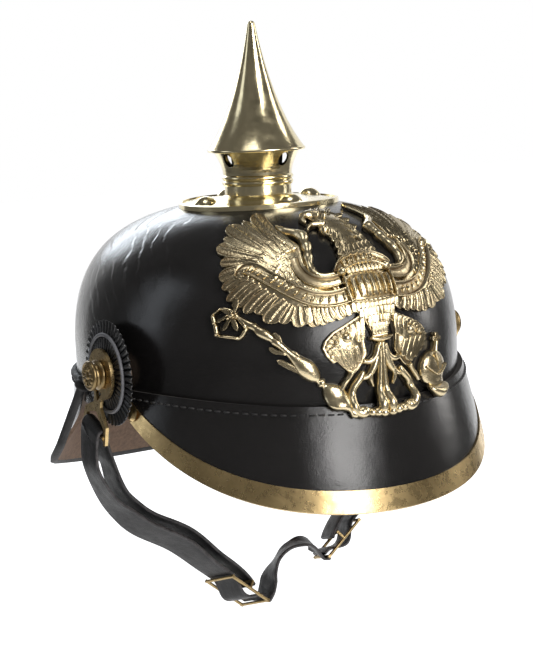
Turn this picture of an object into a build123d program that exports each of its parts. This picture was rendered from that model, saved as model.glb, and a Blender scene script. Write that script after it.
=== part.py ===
from build123d import *
import os
from math import cos, hypot, pi, radians, sin, sqrt

os.makedirs("parts", exist_ok=True)

# The origin is the centre of the head opening, in the rim plane of the skull.
# The front is -Y, the wearer's left is +X and the spike points along +Z.

# Skull, a pressed leather dome on an oval plan
half_width = 92.0
half_length = 105.8
crown_height = 94.3
widest_height = 24.0
skull_wall = 2.6
shoulder_share = 0.77
crown_share = 0.64
crown_vent_radius = 11.0

# Clearances
running_gap = 0.05
seat_gap = 0.3
overrun = 4.0

# Front visor, stitched to the skull by its upper flange
visor_leather = 2.2
flange_lift = 2.4
visor_bulge = 1.0
visor_seam_mean = 7.0
visor_seam_swing = 6.6
visor_seam_dip = -5.7
visor_edge_half_width = 94.0
visor_edge_reach = 97.9
visor_edge_forward = 21.4
visor_edge_mean = 24.7
visor_edge_swing = -77.5
visor_edge_dip = 14.2
visor_end_angle = radians(82.5)
visor_top_end_angle = radians(74.5)
visor_stations = 15

# Brass trim, a channel folded round the visor's lower edge
trim_metal = 0.6
trim_width = 9.4
trim_inner_width = 5.0
trim_bead = 0.5
trim_gap = 0.12
rivet_angle = radians(80.5)
rivet_up = 5.4
rivet_radius = 4.1
rivet_dome = 1.3
rivet_seat = 0.35
rivet_shank_radius = 1.3

# Neck guard, stitched to the skull round the rear
guard_leather = 2.2
guard_bulge = -4.5
guard_seam_height = 12.5
guard_seam_rear_drop = 4.0
guard_edge_half_width = 103.0
guard_edge_reach = 126.0
guard_edge_back = 8.7
guard_edge_mean = -21.8
guard_edge_swing = -36.9
guard_end_angle = radians(72)
guard_top_end_angle = radians(81)
guard_corner_angle = radians(62)
guard_corner_lift = 12.0
guard_stations = 17

# Rear spine, a brass strip down the back of the dome
spine_width = 13.0
spine_gap = 0.1
spine_metal = 0.9
spine_rib_width = 5.0
spine_rib_metal = 1.0
spine_stud_radius = 3.2
spine_stud_dome = 1.8
spine_stud_shank_radius = 1.0
spine_stud_low = 21.0
spine_stud_high = 76.0

# Spike base, a domed disc under a plain collar
spike_axis_y = -1.7
base_radius = 39.8
base_gap = 0.1
base_metal = 1.3
base_lip = 0.9
base_lip_width = 1.8
collar_radius = 16.6
collar_wall = 1.2
collar_foot_radius = 20.0
collar_foot_rise = 1.6
collar_rise = 6.6
base_stud_radius = 5.6
base_stud_dome = 3.2
base_stud_circle = 30.5
base_stud_shank_radius = 1.6
base_stud_count = 4
base_washer_side = 9.0
base_washer_metal = 1.0
base_washer_sink = 0.15
collar_top_height = crown_height + collar_rise

# Spike neck with its bead rings and air holes, and the spike above it
bead_radius = 17.8
bead_height = 2.6
bead_count = 2
throat_radius = 17.0
neck_wall = 1.2
rim_radius = 24.3
rim_rise = 18.3
rim_bead = 1.6
air_hole_radius = 3.2
air_hole_rise = 12.7
air_hole_count = 4
air_hole_turn = 12.0
spike_foot_radius = 23.7
spike_bend_radius = 9.3
spike_bend_rise = 38.1
spike_tip_radius = 1.9
spike_top_rise = 79.9
spike_floor_width = 3.3
spike_hollow_radius = 3.0
spigot_depth = 6.0
rim_height = collar_top_height + rim_rise
air_hole_height = collar_top_height + air_hole_rise
spike_bend_height = collar_top_height + spike_bend_rise
spike_top_height = collar_top_height + spike_top_rise

# Side posts, cockades and knobs, one set on each side
post_y = -20.0
post_z = 21.1
post_radius = 5.0
post_flange_radius = 8.5
post_flange_metal = 1.0
post_thread_radius = 3.0
post_nut_radius = 6.5
post_nut_metal = 2.2
spacer_radius = 9.0
cockade_radius = 24.8
cockade_metal = 2.2
cockade_pleats = 44
cockade_pleat_depth = 0.9
ring_radius = 18.1
ring_wire = 0.8
rosette_radius = 16.8
rosette_metal = 1.1
rosette_pleats = 36
rosette_pleat_depth = 0.6
hanger_metal = 1.6
hanger_eye_radius = 12.0
hanger_tilt = radians(20)
hanger_reach = 29.0
hanger_bar_radius = 1.3
hanger_arm_width = 2.2
hanger_waist = 16.2
hanger_waist_half = 3.4
hanger_shoulder = 22.6
hanger_window = 8.6
knob_radius = 7.25
knob_face = 2.6
knob_groove_radius = 5.8
knob_groove = 1.6
knob_collar_radius = 6.9
knob_collar = 2.2

# Chin strap, one leather belt looped over both hangers
strap_width = 17.0
strap_leather = 1.7
strap_half_span = 103.4
strap_drop = 106.0
strap_side_gap = 0.6
strap_fold_radius = 2.6
strap_straight = 6.6
strap_steps = 4
fold_steps = 6
slide_length = 25.0
slide_wire = 0.8
slide_seat = 0.45

# Liner
band_gap = 0.4
band_leather = 1.3
band_low = -1.0
band_stand_off = 6.6
band_fold_height = 12.5
band_high = 33.0
tongue_leather = 1.1
tongue_lap = 8.0
tongue_bow_height = 60.0
tongue_top_height = 72.0
tongue_top_radius = 24.0
tongue_count = 10
tongue_slot = 5.0
tongue_slot_reach = 68.0
tongue_hole_radius = 1.6
lace_radius = 1.1
lace_ring_radius = 29.0
lace_drop = 3.6

# Eagle plate
plate_metal = 1.3
plate_relief = 2.0
plate_gap = 0.35
plate_half_span = 62.0
plate_top = 92.0
plate_foot = 3.0
plate_step_height = 9.0
plate_step = 4.4
plate_loop_wire = 0.7
plate_loop_radius = 3.6
plate_loop_x = 40.0
plate_loop_height = 56.0
wedge_length = 15.0
wedge_leather = 2.4
wedge_gap = 0.7
wedge_height = 3.2


def vec(x, y, z):
    return Vector(x, y, z)


def dome(grow, low):
    """Solid under the skull's outer face moved outwards by grow, down to z = -low."""
    wide = half_width + grow
    top = crown_height + grow
    rise = top - widest_height
    side = Line((wide, 0, -low), (wide, 0, widest_height))
    shoulder = Bezier(
        (wide, 0, widest_height),
        (wide, 0, widest_height + shoulder_share * rise),
        (crown_share * wide, 0, top),
        (0, 0, top),
    )
    axis = Line((0, 0, top), (0, 0, -low))
    floor = Line((0, 0, -low), (wide, 0, -low))
    round_dome = revolve(make_face([side, shoulder, axis, floor]), Axis.Z)
    return scale(round_dome, by=(1, (half_length + grow) / wide, 1))


def profile(t, grow):
    """Radius across the width and height of the grown dome, from the wall up to the crown."""
    wide = half_width + grow
    rise = crown_height + grow - widest_height
    radius = wide * ((1 - t) ** 3 + 3 * (1 - t) ** 2 * t + 3 * (1 - t) * t * t * crown_share)
    lift = 3 * (1 - t) ** 2 * t * shoulder_share + 3 * (1 - t) * t * t + t ** 3
    return radius, widest_height + rise * lift


def dome_top(x, y, grow):
    """Height of the grown dome over a point of the plan."""
    across = y * (half_width + grow) / (half_length + grow)
    low, high = 0.0, 1.0
    while high - low > 1e-9:
        t = (low + high) / 2
        if profile(t, grow)[0] > hypot(x, across):
            low = t
        else:
            high = t
    return profile(low, grow)[1]


def dome_reach(x, z, grow):
    """Distance of the grown dome from the plane y = 0 at a place in the front view."""
    low, high = 0.0, 1.0
    while high - low > 1e-9:
        t = (low + high) / 2
        if profile(t, grow)[1] < z:
            low = t
        else:
            high = t
    radius = profile(low, grow)[0]
    return sqrt(radius ** 2 - x ** 2) * (half_length + grow) / (half_width + grow)


def dome_plane(x, z, front, grow):
    """Plane on the grown dome whose normal points outwards; front is -1, the rear is 1."""
    step = seat_gap
    here = vec(x, front * dome_reach(x, z, grow), z)
    beside = vec(x + step, front * dome_reach(x + step, z, grow), z) - here
    above = vec(x, front * dome_reach(x, z + step, grow), z + step) - here
    normal = beside.cross(above).normalized()
    if normal.Y * front < 0:
        normal = normal * -1
    return Plane(origin=here, x_dir=beside.normalized(), z_dir=normal)


def wall_point(angle, grow, height):
    """Point on the upright lower wall, with the angle counted from the front."""
    return vec((half_width + grow) * sin(angle), -(half_length + grow) * cos(angle), height)


def wave(angle, mean, swing, dip):
    return mean + swing * cos(angle) + dip * cos(2 * angle)


def cylinder_along(start, direction, radius, length):
    plane = Plane(origin=start, z_dir=direction)
    return plane * Cylinder(radius, length, align=(Align.CENTER, Align.CENTER, Align.MIN))


def revolved(points):
    """Solid turned about the Z axis from radius, height points."""
    outline = Polyline([(r, 0, z) for r, z in points], close=True)
    return revolve(make_face(outline), Axis.Z)


def on_spike_axis(solid):
    return Pos(0, spike_axis_y, 0) * solid


def domed_head(radius, height):
    """Shallow dome standing on the XY plane."""
    sphere_radius = (radius ** 2 + height ** 2) / (2 * height)
    ball = Pos(0, 0, height - sphere_radius) * Sphere(sphere_radius)
    keep = Cylinder(radius, 2 * height, align=(Align.CENTER, Align.CENTER, Align.MIN))
    return ball & keep


def mirrored(solid):
    return mirror(solid, about=Plane.YZ)


# Visor, trim and guard

def visor_frame(angle):
    """Top and bottom of the visor's outer face, its slope and its outward normal."""
    top_angle = angle * visor_top_end_angle / visor_end_angle
    seam = wave(top_angle, visor_seam_mean, visor_seam_swing, visor_seam_dip)
    top = wall_point(top_angle, flange_lift, seam)
    bottom = vec(
        visor_edge_half_width * sin(angle),
        -visor_edge_reach * cos(angle) - visor_edge_forward,
        wave(angle, visor_edge_mean, visor_edge_swing, visor_edge_dip),
    )
    slope = (top - bottom).normalized()
    outward = vec(sin(angle) / half_width, -cos(angle) / half_length, 0).normalized()
    normal = (outward - slope * outward.dot(slope)).normalized()
    return top, bottom, slope, normal


def leather_section(top, bottom, normal, bulge, leather, root):
    """Closed outline of a bowed leather sheet, thicker by root where it meets the skull."""
    middle = (top + bottom) * 0.5 + normal * (2 * bulge)
    outer = Bezier(bottom, middle, top)
    top_in = top - normal * (leather + root)
    middle_in = middle - normal * leather
    bottom_in = bottom - normal * leather
    inner = Bezier(top_in, middle_in, bottom_in)
    return Wire([outer, Line(top, top_in), inner, Line(bottom_in, bottom)])


def station_angles(end, count):
    return [end * (2 * i / (count - 1) - 1) for i in range(count)]


def make_front_visor():
    sections = []
    for angle in station_angles(visor_end_angle, visor_stations):
        top, bottom, slope, normal = visor_frame(angle)
        lifted = bottom + slope * trim_metal
        bulge = visor_bulge * cos(angle)
        sections.append(leather_section(top, lifted, normal, bulge, visor_leather, flange_lift))
    visor = Solid.make_loft(sections) - dome(0, 0)
    return max(visor.solids(), key=lambda s: s.volume)


def visor_face_point(angle, up):
    """Point on the visor's outer face, a distance up from its lower edge, and the normal."""
    top, bottom, slope, normal = visor_frame(angle)
    low = bottom + slope * trim_metal
    share = up / (top - low).length
    bow = normal * (4 * visor_bulge * cos(angle) * share * (1 - share))
    return low + (top - low) * share + bow, normal


def trim_section(angle):
    foot, normal = visor_face_point(angle, 0)
    head, _ = visor_face_point(angle, trim_width)
    leaf = (head - foot).normalized()
    skin = trim_metal + trim_gap
    back = foot - normal * visor_leather
    top, bottom, _, _ = visor_frame(angle)
    root = normal * (flange_lift * (trim_inner_width / (top - bottom).length) ** 2)
    points = [
        head + normal * skin,
        foot + normal * (skin + trim_bead) - leaf * trim_metal,
        foot - leaf * (trim_metal + trim_bead),
        back - normal * skin - leaf * trim_metal,
        back - normal * skin - root + leaf * trim_inner_width,
        back - normal * trim_gap - root + leaf * trim_inner_width,
        back - normal * trim_gap,
        foot + normal * trim_gap,
        head + normal * trim_gap,
    ]
    return Wire(Polyline(points, close=True).edges())


def rivet_frame(side):
    point, normal = visor_face_point(side * rivet_angle, rivet_up)
    return point + normal * (trim_metal + trim_gap + rivet_seat), normal


def make_visor_trim():
    """Brass channel with a flat spot under the head of each rivet."""
    sections = [trim_section(a) for a in station_angles(visor_end_angle, visor_stations)]
    trim = Solid.make_loft(sections)
    for side in (-1, 1):
        point, normal = rivet_frame(side)
        trim -= cylinder_along(point, normal, rivet_radius + running_gap, overrun)
    return trim


def rivet_hole(side):
    point, normal = rivet_frame(side)
    start = point - normal * (overrun + visor_leather)
    return cylinder_along(start, normal, rivet_shank_radius + running_gap, 2 * (overrun + visor_leather))


def make_trim_rivet(side):
    point, normal = rivet_frame(side)
    head = Plane(origin=point, z_dir=normal) * domed_head(rivet_radius, rivet_dome)
    length = visor_leather + 2 * trim_metal + seat_gap
    shank = cylinder_along(point - normal * length, normal, rivet_shank_radius, length + rivet_dome / 2)
    return head + shank


def guard_section(angle):
    """Section of the guard, with the angle counted from the rear."""
    share = angle / guard_end_angle
    top_angle = pi - share * guard_top_end_angle
    seam = guard_seam_height - guard_seam_rear_drop * cos(angle)
    top = wall_point(top_angle, flange_lift, seam)
    corner = max(0.0, (abs(angle) - guard_corner_angle) / (guard_end_angle - guard_corner_angle))
    lift = guard_corner_lift * (1 - sqrt(1 - corner ** 2))
    bottom = vec(
        guard_edge_half_width * sin(angle),
        guard_edge_reach * cos(angle) + guard_edge_back,
        guard_edge_mean + guard_edge_swing * cos(angle),
    )
    slope = (top - bottom).normalized()
    bottom = bottom + slope * lift
    outward = vec(sin(top_angle) / half_width, -cos(top_angle) / half_length, 0).normalized()
    normal = (outward - slope * outward.dot(slope)).normalized()
    return leather_section(top, bottom, normal, guard_bulge, guard_leather, flange_lift)


def make_neck_guard():
    sections = [guard_section(a) for a in station_angles(guard_end_angle, guard_stations)]
    guard = Solid.make_loft(sections) - dome(0, 0)
    return max(guard.solids(), key=lambda s: s.volume)


# Skull and spine

def stud_planes():
    """Planes on the spike base's upper face, at the front, the rear and both sides."""
    planes = []
    for i in range(base_stud_count):
        turn = 2 * pi * i / base_stud_count
        planes.append(crown_plane(base_stud_circle * cos(turn), base_stud_circle * sin(turn) + spike_axis_y))
    return planes


def crown_plane(x, y):
    """Plane on the spike base's upper face over a point of the plan."""
    grow = base_gap + base_metal
    step = seat_gap
    here = vec(x, y, dome_top(x, y, grow))
    beside = vec(x + step, y, dome_top(x + step, y, grow)) - here
    behind = vec(x, y + step, dome_top(x, y + step, grow)) - here
    return Plane(origin=here, x_dir=beside.normalized(), z_dir=beside.cross(behind).normalized())


def stud_drill(plane, radius):
    start = plane.origin - plane.z_dir * (2 * overrun)
    return cylinder_along(start, plane.z_dir, radius, 4 * overrun)


def spine_planes():
    face = spine_gap + spine_metal + spine_rib_metal
    return [dome_plane(0, z, 1, face) for z in (spine_stud_low, spine_stud_high)]


def make_skull():
    skull = dome(0, 0) - dome(-skull_wall, overrun)
    vent_start = vec(0, spike_axis_y, crown_height - 3 * skull_wall)
    skull -= cylinder_along(vent_start, vec(0, 0, 1), crown_vent_radius, 6 * skull_wall)
    hole = post_thread_radius + running_gap
    start = vec(-half_width - overrun, post_y, post_z)
    skull -= cylinder_along(start, vec(1, 0, 0), hole, 2 * (half_width + overrun))
    for plane in stud_planes():
        skull -= stud_drill(plane, base_stud_shank_radius + running_gap)
    for plane in spine_planes():
        skull -= stud_drill(plane, spine_stud_shank_radius + running_gap)
    for side in (-1, 1):
        width = 2 * (plate_loop_wire + seat_gap)
        slot = Box(width, 2 * (plate_loop_radius + plate_loop_wire + seat_gap), 4 * skull_wall)
        skull -= dome_plane(side * plate_loop_x, plate_loop_height, -1, 0) * slot
    return skull


def spine_strip(width, high_grow):
    """Part of a grown dome shell that lies behind the axis within a width."""
    shell = dome(high_grow, 0) - dome(spine_gap, overrun)
    block = Box(width, 2 * half_length, 2 * crown_height, align=(Align.CENTER, Align.MIN, Align.MIN))
    return shell & (Pos(0, base_stud_circle, guard_seam_height + seat_gap) * block)


def make_rear_spine():
    strip = spine_strip(spine_width, spine_gap + spine_metal)
    rib = spine_strip(spine_rib_width, spine_gap + spine_metal + spine_rib_metal)
    spine = strip + rib - on_spike_axis(Cylinder(base_radius + seat_gap, 3 * crown_height))
    for plane in spine_planes():
        spine -= stud_drill(plane, spine_stud_shank_radius + running_gap)
    return spine


def make_spine_stud(plane):
    """Domed stud on the spine with a shank that ends inside the skull."""
    head = Pos(0, 0, spine_gap) * domed_head(spine_stud_radius, spine_stud_dome)
    reach = 2 * spine_gap + spine_metal + spine_rib_metal + skull_wall + 1.0
    shank = Pos(0, 0, spine_gap) * Cylinder(spine_stud_shank_radius, reach,
                                            align=(Align.CENTER, Align.CENTER, Align.MAX))
    return plane * (head + shank)


# Spike

def make_spike_base():
    grow = base_gap + base_metal
    lip_grow = grow + base_lip
    foot_height = dome_top(collar_foot_radius, spike_axis_y, grow)
    disc = on_spike_axis(Cylinder(base_radius, 3 * crown_height)) & dome(grow, 0)
    band = Cylinder(base_radius, 3 * crown_height) - Cylinder(base_radius - base_lip_width, 4 * crown_height)
    lip = on_spike_axis(band) & dome(lip_grow, 0)
    foot = revolved([
        (0, foot_height - base_metal),
        (collar_foot_radius, foot_height - base_metal),
        (collar_foot_radius, foot_height),
        (collar_radius + collar_wall, foot_height + collar_foot_rise / 2),
        (collar_radius, foot_height + collar_foot_rise),
        (collar_radius, collar_top_height),
        (0, collar_top_height),
    ])
    bore = on_spike_axis(Cylinder(collar_radius - collar_wall, 3 * crown_height))
    base = disc + lip + on_spike_axis(foot) - dome(base_gap, overrun) - bore
    for plane in stud_planes():
        base -= stud_drill(plane, base_stud_shank_radius + running_gap)
    return max(base.solids(), key=lambda s: s.volume)


def make_base_stud(plane):
    head = Pos(0, 0, base_gap) * domed_head(base_stud_radius, base_stud_dome)
    reach = 3 * base_gap + base_metal + skull_wall + base_washer_metal + seat_gap
    shank = Pos(0, 0, base_gap) * Cylinder(base_stud_shank_radius, reach,
                                           align=(Align.CENTER, Align.CENTER, Align.MAX))
    return plane * (head + shank)


def make_base_washer(plane):
    """Square prong plate against the inside of the crown."""
    depth = 2 * base_gap + base_metal + skull_wall + base_washer_sink
    plate = Box(base_washer_side, base_washer_side, base_washer_metal,
                align=(Align.CENTER, Align.CENTER, Align.MAX))
    plate -= Cylinder(base_stud_shank_radius + running_gap, 4 * base_washer_metal)
    return plane * Pos(0, 0, -depth) * plate


def neck_outline():
    """Outer outline of the neck from the seam on the collar up to the spike's rim."""
    points = []
    low = collar_top_height + running_gap
    arc_steps = 6
    for i in range(bead_count):
        for step in range(arc_steps):
            turn = pi * step / arc_steps
            bulge = (bead_radius - throat_radius) * sin(turn)
            points.append((throat_radius + bulge, low + bead_height * (i + step / arc_steps)))
    steps = 8
    foot = low + bead_height * bead_count
    for i in range(steps + 1):
        share = i / steps
        height = foot + share * (rim_height - foot - rim_bead)
        flare = (spike_foot_radius - 2 * neck_wall - throat_radius) * share ** 1.7
        points.append((throat_radius + flare, height))
    return points


def make_spike_neck():
    outer = neck_outline()
    wall = [(r - neck_wall, z) for r, z in reversed(outer)]
    shell = revolved(outer + wall)
    bore = collar_radius - collar_wall - running_gap
    low = collar_top_height - spigot_depth
    seat = collar_top_height + running_gap
    tube = revolved([
        (bore - neck_wall, low),
        (bore, low),
        (bore, seat),
        (throat_radius, seat),
        (throat_radius, collar_top_height + bead_height),
        (bore - neck_wall, collar_top_height + bead_height),
    ])
    neck = shell + tube
    for i in range(air_hole_count):
        turn = radians(air_hole_turn) + 2 * pi * i / air_hole_count
        start = vec(0, 0, air_hole_height)
        neck -= cylinder_along(start, vec(cos(turn), sin(turn), 0), air_hole_radius, 2 * rim_radius)
    return on_spike_axis(neck)


def make_spike_cone():
    foot = rim_height - rim_bead
    tip_height = spike_top_height - spike_tip_radius
    rim = ThreePointArc(
        (spike_foot_radius, 0, foot),
        (rim_radius, 0, foot + rim_bead / 2),
        (spike_foot_radius, 0, rim_height),
    )
    side = Bezier(
        (spike_foot_radius, 0, rim_height),
        (spike_bend_radius, 0, spike_bend_height),
        (spike_tip_radius, 0, tip_height),
    )
    half = spike_tip_radius * sin(pi / 4)
    tip = ThreePointArc((spike_tip_radius, 0, tip_height), (half, 0, tip_height + half), (0, 0, spike_top_height))
    axis = Line((0, 0, spike_top_height), (0, 0, foot))
    floor = Line((0, 0, foot), (spike_foot_radius, 0, foot))
    outer = revolve(make_face([rim, side, tip, axis, floor]), Axis.Z)
    hollow_height = spike_bend_height - foot
    hollow = Cone(spike_foot_radius - spike_floor_width, spike_hollow_radius, hollow_height,
                  align=(Align.CENTER, Align.CENTER, Align.MIN))
    return on_spike_axis(outer - Pos(0, 0, foot) * hollow)


# Side fittings, made for the wearer's left and mirrored

def cockade_seat():
    """Distance of the flanges' outer face from the middle plane."""
    return half_width + flange_lift + seat_gap


def flat_face(points):
    return Face(Wire(Polyline(points, close=True).edges()))


def pleated_disc(radius, metal, depth, pleats, start, bore):
    """Disc across the X axis whose outer face is folded into radial pleats."""
    corners = 2 * pleats
    back = []
    front = []
    for i in range(corners):
        turn = 2 * pi * i / corners
        reach = radius - depth * (i % 2)
        y = post_y + reach * cos(turn)
        z = post_z + reach * sin(turn)
        back.append(vec(start, y, z))
        front.append(vec(start + metal - depth * (i % 2), y, z))
    apex = vec(start + metal - depth / 2, post_y, post_z)
    faces = [flat_face(back)]
    for i in range(corners):
        j = (i + 1) % corners
        faces.append(flat_face([front[i], front[j], apex]))
        faces.append(flat_face([back[i], back[j], front[j], front[i]]))
    disc = Solid(Shell(faces))
    start_point = vec(start - overrun, post_y, post_z)
    return disc - cylinder_along(start_point, vec(1, 0, 0), bore, 2 * overrun + metal)


def make_cockade():
    bore = post_thread_radius + running_gap
    return pleated_disc(cockade_radius, cockade_metal, cockade_pleat_depth, cockade_pleats, cockade_seat(), bore)


def cockade_face():
    return cockade_seat() + cockade_metal


def make_cockade_ring():
    plane = Plane(origin=(cockade_face() + ring_wire / 2, post_y, post_z), z_dir=(1, 0, 0))
    ring = plane * Torus(ring_radius, ring_wire)
    behind = vec(cockade_seat(), post_y, post_z)
    return ring - cylinder_along(behind, vec(1, 0, 0), cockade_radius, cockade_metal)


def make_rosette():
    start = cockade_face()
    bore = post_thread_radius + running_gap
    return pleated_disc(rosette_radius, rosette_metal, rosette_pleat_depth, rosette_pleats, start, bore)


def post_layers():
    """Distances along X where the flange, hanger, knob groove and knob face start."""
    flange = cockade_face() + rosette_metal
    hanger = flange + post_flange_metal + running_gap
    knob = hanger + hanger_metal + running_gap
    return flange, hanger, knob


def make_side_post():
    flange, hanger, knob = post_layers()
    axis = vec(1, 0, 0)
    inner = wall_inner_at_post() - post_nut_metal - 2 * post_flange_metal
    shank = cylinder_along(vec(inner, post_y, post_z), axis, post_thread_radius, knob + knob_groove - inner)
    shank += cylinder_along(vec(flange, post_y, post_z), axis, post_flange_radius, post_flange_metal)
    shank += cylinder_along(vec(flange, post_y, post_z), axis, post_radius, knob - flange)
    return shank


def wall_inner_at_post():
    """Distance of the skull's inner face from the middle plane at the post."""
    share = post_y / (half_length - skull_wall)
    return (half_width - skull_wall) * sqrt(1 - share ** 2)


def make_cockade_spacer():
    """Leather washer that fills the space between the skull and the cockade."""
    inner = wall_inner_at_post()
    axis = vec(1, 0, 0)
    puck = cylinder_along(vec(inner, post_y, post_z), axis, spacer_radius, cockade_seat() - running_gap - inner)
    bore = cylinder_along(vec(inner, post_y, post_z), axis, post_thread_radius + running_gap, 2 * spacer_radius)
    return puck - bore - dome(running_gap, 0)


def make_post_nut():
    face = wall_inner_at_post() - seat_gap
    edge = post_nut_radius * abs(post_y) * half_width / half_length ** 2
    start = face - edge - post_nut_metal
    prism = extrude(RegularPolygon(post_nut_radius, 6), post_nut_metal)
    nut = Plane(origin=(start, post_y, post_z), z_dir=(1, 0, 0)) * prism
    hole = cylinder_along(vec(start - overrun, post_y, post_z), vec(1, 0, 0),
                          post_thread_radius + running_gap, 3 * overrun)
    return nut - hole


def hanger_plane(x):
    """Plane across the post whose local x runs down the hanger."""
    down = vec(0, sin(hanger_tilt), -cos(hanger_tilt))
    return Plane(origin=(x, post_y, post_z), x_dir=down, z_dir=(1, 0, 0))


def make_hanger():
    """Open eye, narrow waist and forked foot with the strap bar."""
    _, start, _ = post_layers()
    bore = post_radius + running_gap
    inside = strap_width / 2 + strap_side_gap
    outside = inside + hanger_arm_width
    foot = hanger_reach + 2 * hanger_bar_radius
    waist = hanger_waist
    slim = hanger_waist_half
    one_side = [
        (0, hanger_eye_radius), (waist - slim, slim), (waist, slim), (hanger_shoulder, outside),
        (foot, outside + hanger_arm_width / 2), (foot + hanger_bar_radius, outside - hanger_arm_width / 4),
        (hanger_reach, inside), (hanger_shoulder + hanger_arm_width, inside), (waist + slim, 0),
    ]
    other_side = [(x, -y) for x, y in reversed(one_side[:-1])]
    neck = Polyline(one_side + other_side, close=True)
    window = Polyline((hanger_window, slim), (hanger_window, -slim), (waist - slim / 2, 0), close=True)
    sheet = Circle(hanger_eye_radius) + make_face(neck) - make_face(window) - Circle(bore)
    plate = hanger_plane(start) * extrude(sheet, hanger_metal)
    direction = hanger_plane(start).y_dir
    half = inside + hanger_arm_width / 2
    bar = cylinder_along(bar_centre() - direction * half, direction, hanger_bar_radius, 2 * half)
    return plate + bar


def bar_centre():
    """Middle of the strap bar, on the wearer's left."""
    _, start, _ = post_layers()
    return hanger_plane(start + hanger_metal / 2).from_local_coords((hanger_reach, 0, 0))


def make_side_knob():
    _, _, start = post_layers()
    axis = vec(1, 0, 0)
    at = vec(start, post_y, post_z)
    knob = cylinder_along(at, axis, knob_collar_radius, knob_collar)
    knob += cylinder_along(at + axis * knob_collar, axis, knob_groove_radius, knob_groove)
    face = Cylinder(knob_radius, knob_face, align=(Align.CENTER, Align.CENTER, Align.MIN))
    face = chamfer(face.edges().sort_by(Axis.Z)[-1:], knob_face / 5)
    boss = Pos(0, 0, knob_face) * domed_head(knob_radius * 0.3, knob_face / 4)
    knob += Plane(origin=at + axis * (knob_collar + knob_groove), z_dir=axis) * (face + boss)
    bore = post_thread_radius + running_gap
    return knob - cylinder_along(at - axis * overrun, axis, bore, overrun + knob_groove + seat_gap)


# Chin strap: stations as shares of the half span and drop, with the width's tilt in degrees
# and the gap between the two layers as a share of the strap's width

right_route_shares = (
    (-1.000, 0.102, -0.236, 0, 0.50),
    (-0.940, 0.120, -0.379, 10, 0.40),
    (-0.865, 0.130, -0.468, 25, 0.32),
    (-0.775, 0.140, -0.548, 32, 0.32),
    (-0.600, 0.152, -0.655, 32, 0.36),
    (-0.452, 0.160, -0.790, 24, 0.34),
    (-0.298, 0.1664, -0.919, 24, 0.34),
    (-0.210, 0.170, -0.993, 24, 0.34),
)
left_route_shares = (
    (0.982, 0.100, -0.241, 0, 0.50),
    (0.909, 0.120, -0.387, 10, 0.40),
    (0.774, 0.131, -0.486, 20, 0.34),
    (0.600, 0.140, -0.552, 22, 0.34),
    (0.430, 0.155, -0.658, 20, 0.34),
    (0.266, 0.1664, -0.778, 20, 0.34),
    (0.170, 0.1730, -0.849, 20, 0.34),
)
left_tail_shares = (
    (0.143, 0.174, -0.862, 18, 0.34),
    (0.127, 0.176, -0.838, 16, 0.34),
    (0.112, 0.181, -0.800, 12, 0.34),
    (0.070, 0.187, -0.770, 8, 0.34),
    (0.016, 0.190, -0.772, 10, 0.34),
)
centre_route_shares = (
    (-0.205, 0.17, -0.998, 24),
    (-0.160, 0.175, -1.005, 28),
    (-0.135, 0.18, -0.950, 60),
    (-0.128, 0.185, -0.880, 70),
    (-0.080, 0.19, -0.820, 40),
    (-0.035, 0.19, -0.786, 20),
    (0.008, 0.19, -0.772, 10),
)


def hung_route(side, shares):
    """Stations of one half of the strap, the first three in line with the hanger."""
    bar = bar_centre()
    down = hanger_plane(0).x_dir
    reach = (bar.X + strap_fold_radius) / strap_half_span
    gap = 2 * strap_fold_radius / strap_width
    rows = []
    for drop in (0, strap_straight / 2, strap_straight):
        at = bar + down * drop
        rows.append((side * reach, -at.Y / strap_half_span, at.Z / strap_drop, 0, gap))
    return rows + list(shares)


def blend_points(rows, steps):
    """Catmull-Rom points through rows of numbers."""
    ends = [rows[0]] + list(rows) + [rows[-1]]
    result = []
    for i in range(1, len(ends) - 2):
        a, b, c, d = ends[i - 1], ends[i], ends[i + 1], ends[i + 2]
        for k in range(steps):
            t = k / steps
            row = []
            for p, q, r, s in zip(a, b, c, d):
                row.append(0.5 * (2 * q + (r - p) * t + (2 * p - 5 * q + 4 * r - s) * t ** 2
                                  + (3 * q - p - 3 * r + s) * t ** 3))
            result.append(row)
    result.append(list(ends[-2]))
    return result


def strap_point(row):
    x, y, z = row[0], row[1], row[2]
    return vec(x * strap_half_span, -y * strap_half_span, z * strap_drop)


def strap_frames(rows):
    """Centre, travel, width and face directions along a route."""
    points = [strap_point(row) for row in rows]
    frames = []
    for i, row in enumerate(rows):
        before = points[max(0, i - 1)]
        after = points[min(len(points) - 1, i + 1)]
        travel = (after - before).normalized()
        front = vec(0, -1, 0)
        front = (front - travel * front.dot(travel)).normalized()
        face = front.cross(travel)
        if face.dot(vec(0, 0, 1)) < 0 and abs(row[0]) < 0.9:
            face = face * -1
        elif abs(row[0]) >= 0.9 and face.dot(vec(-row[0], 0, 0)) < 0:
            face = face * -1
        tilt = radians(row[3])
        width = front * cos(tilt) + face * sin(tilt)
        face = face * cos(tilt) - front * sin(tilt)
        frames.append((points[i], travel, width, face))
    return frames


def ribbon(centres, widths, faces):
    """Flat belt through stations, as one closed solid of ruled strips."""
    sections = []
    for centre, width, face in zip(centres, widths, faces):
        w = width * (strap_width / 2)
        n = face * (strap_leather / 2)
        corners = [centre - w - n, centre + w - n, centre + w + n, centre - w + n]
        sections.append(Wire(Polyline(corners, close=True).edges()))
    return Solid.make_loft(sections, ruled=True)


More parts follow.
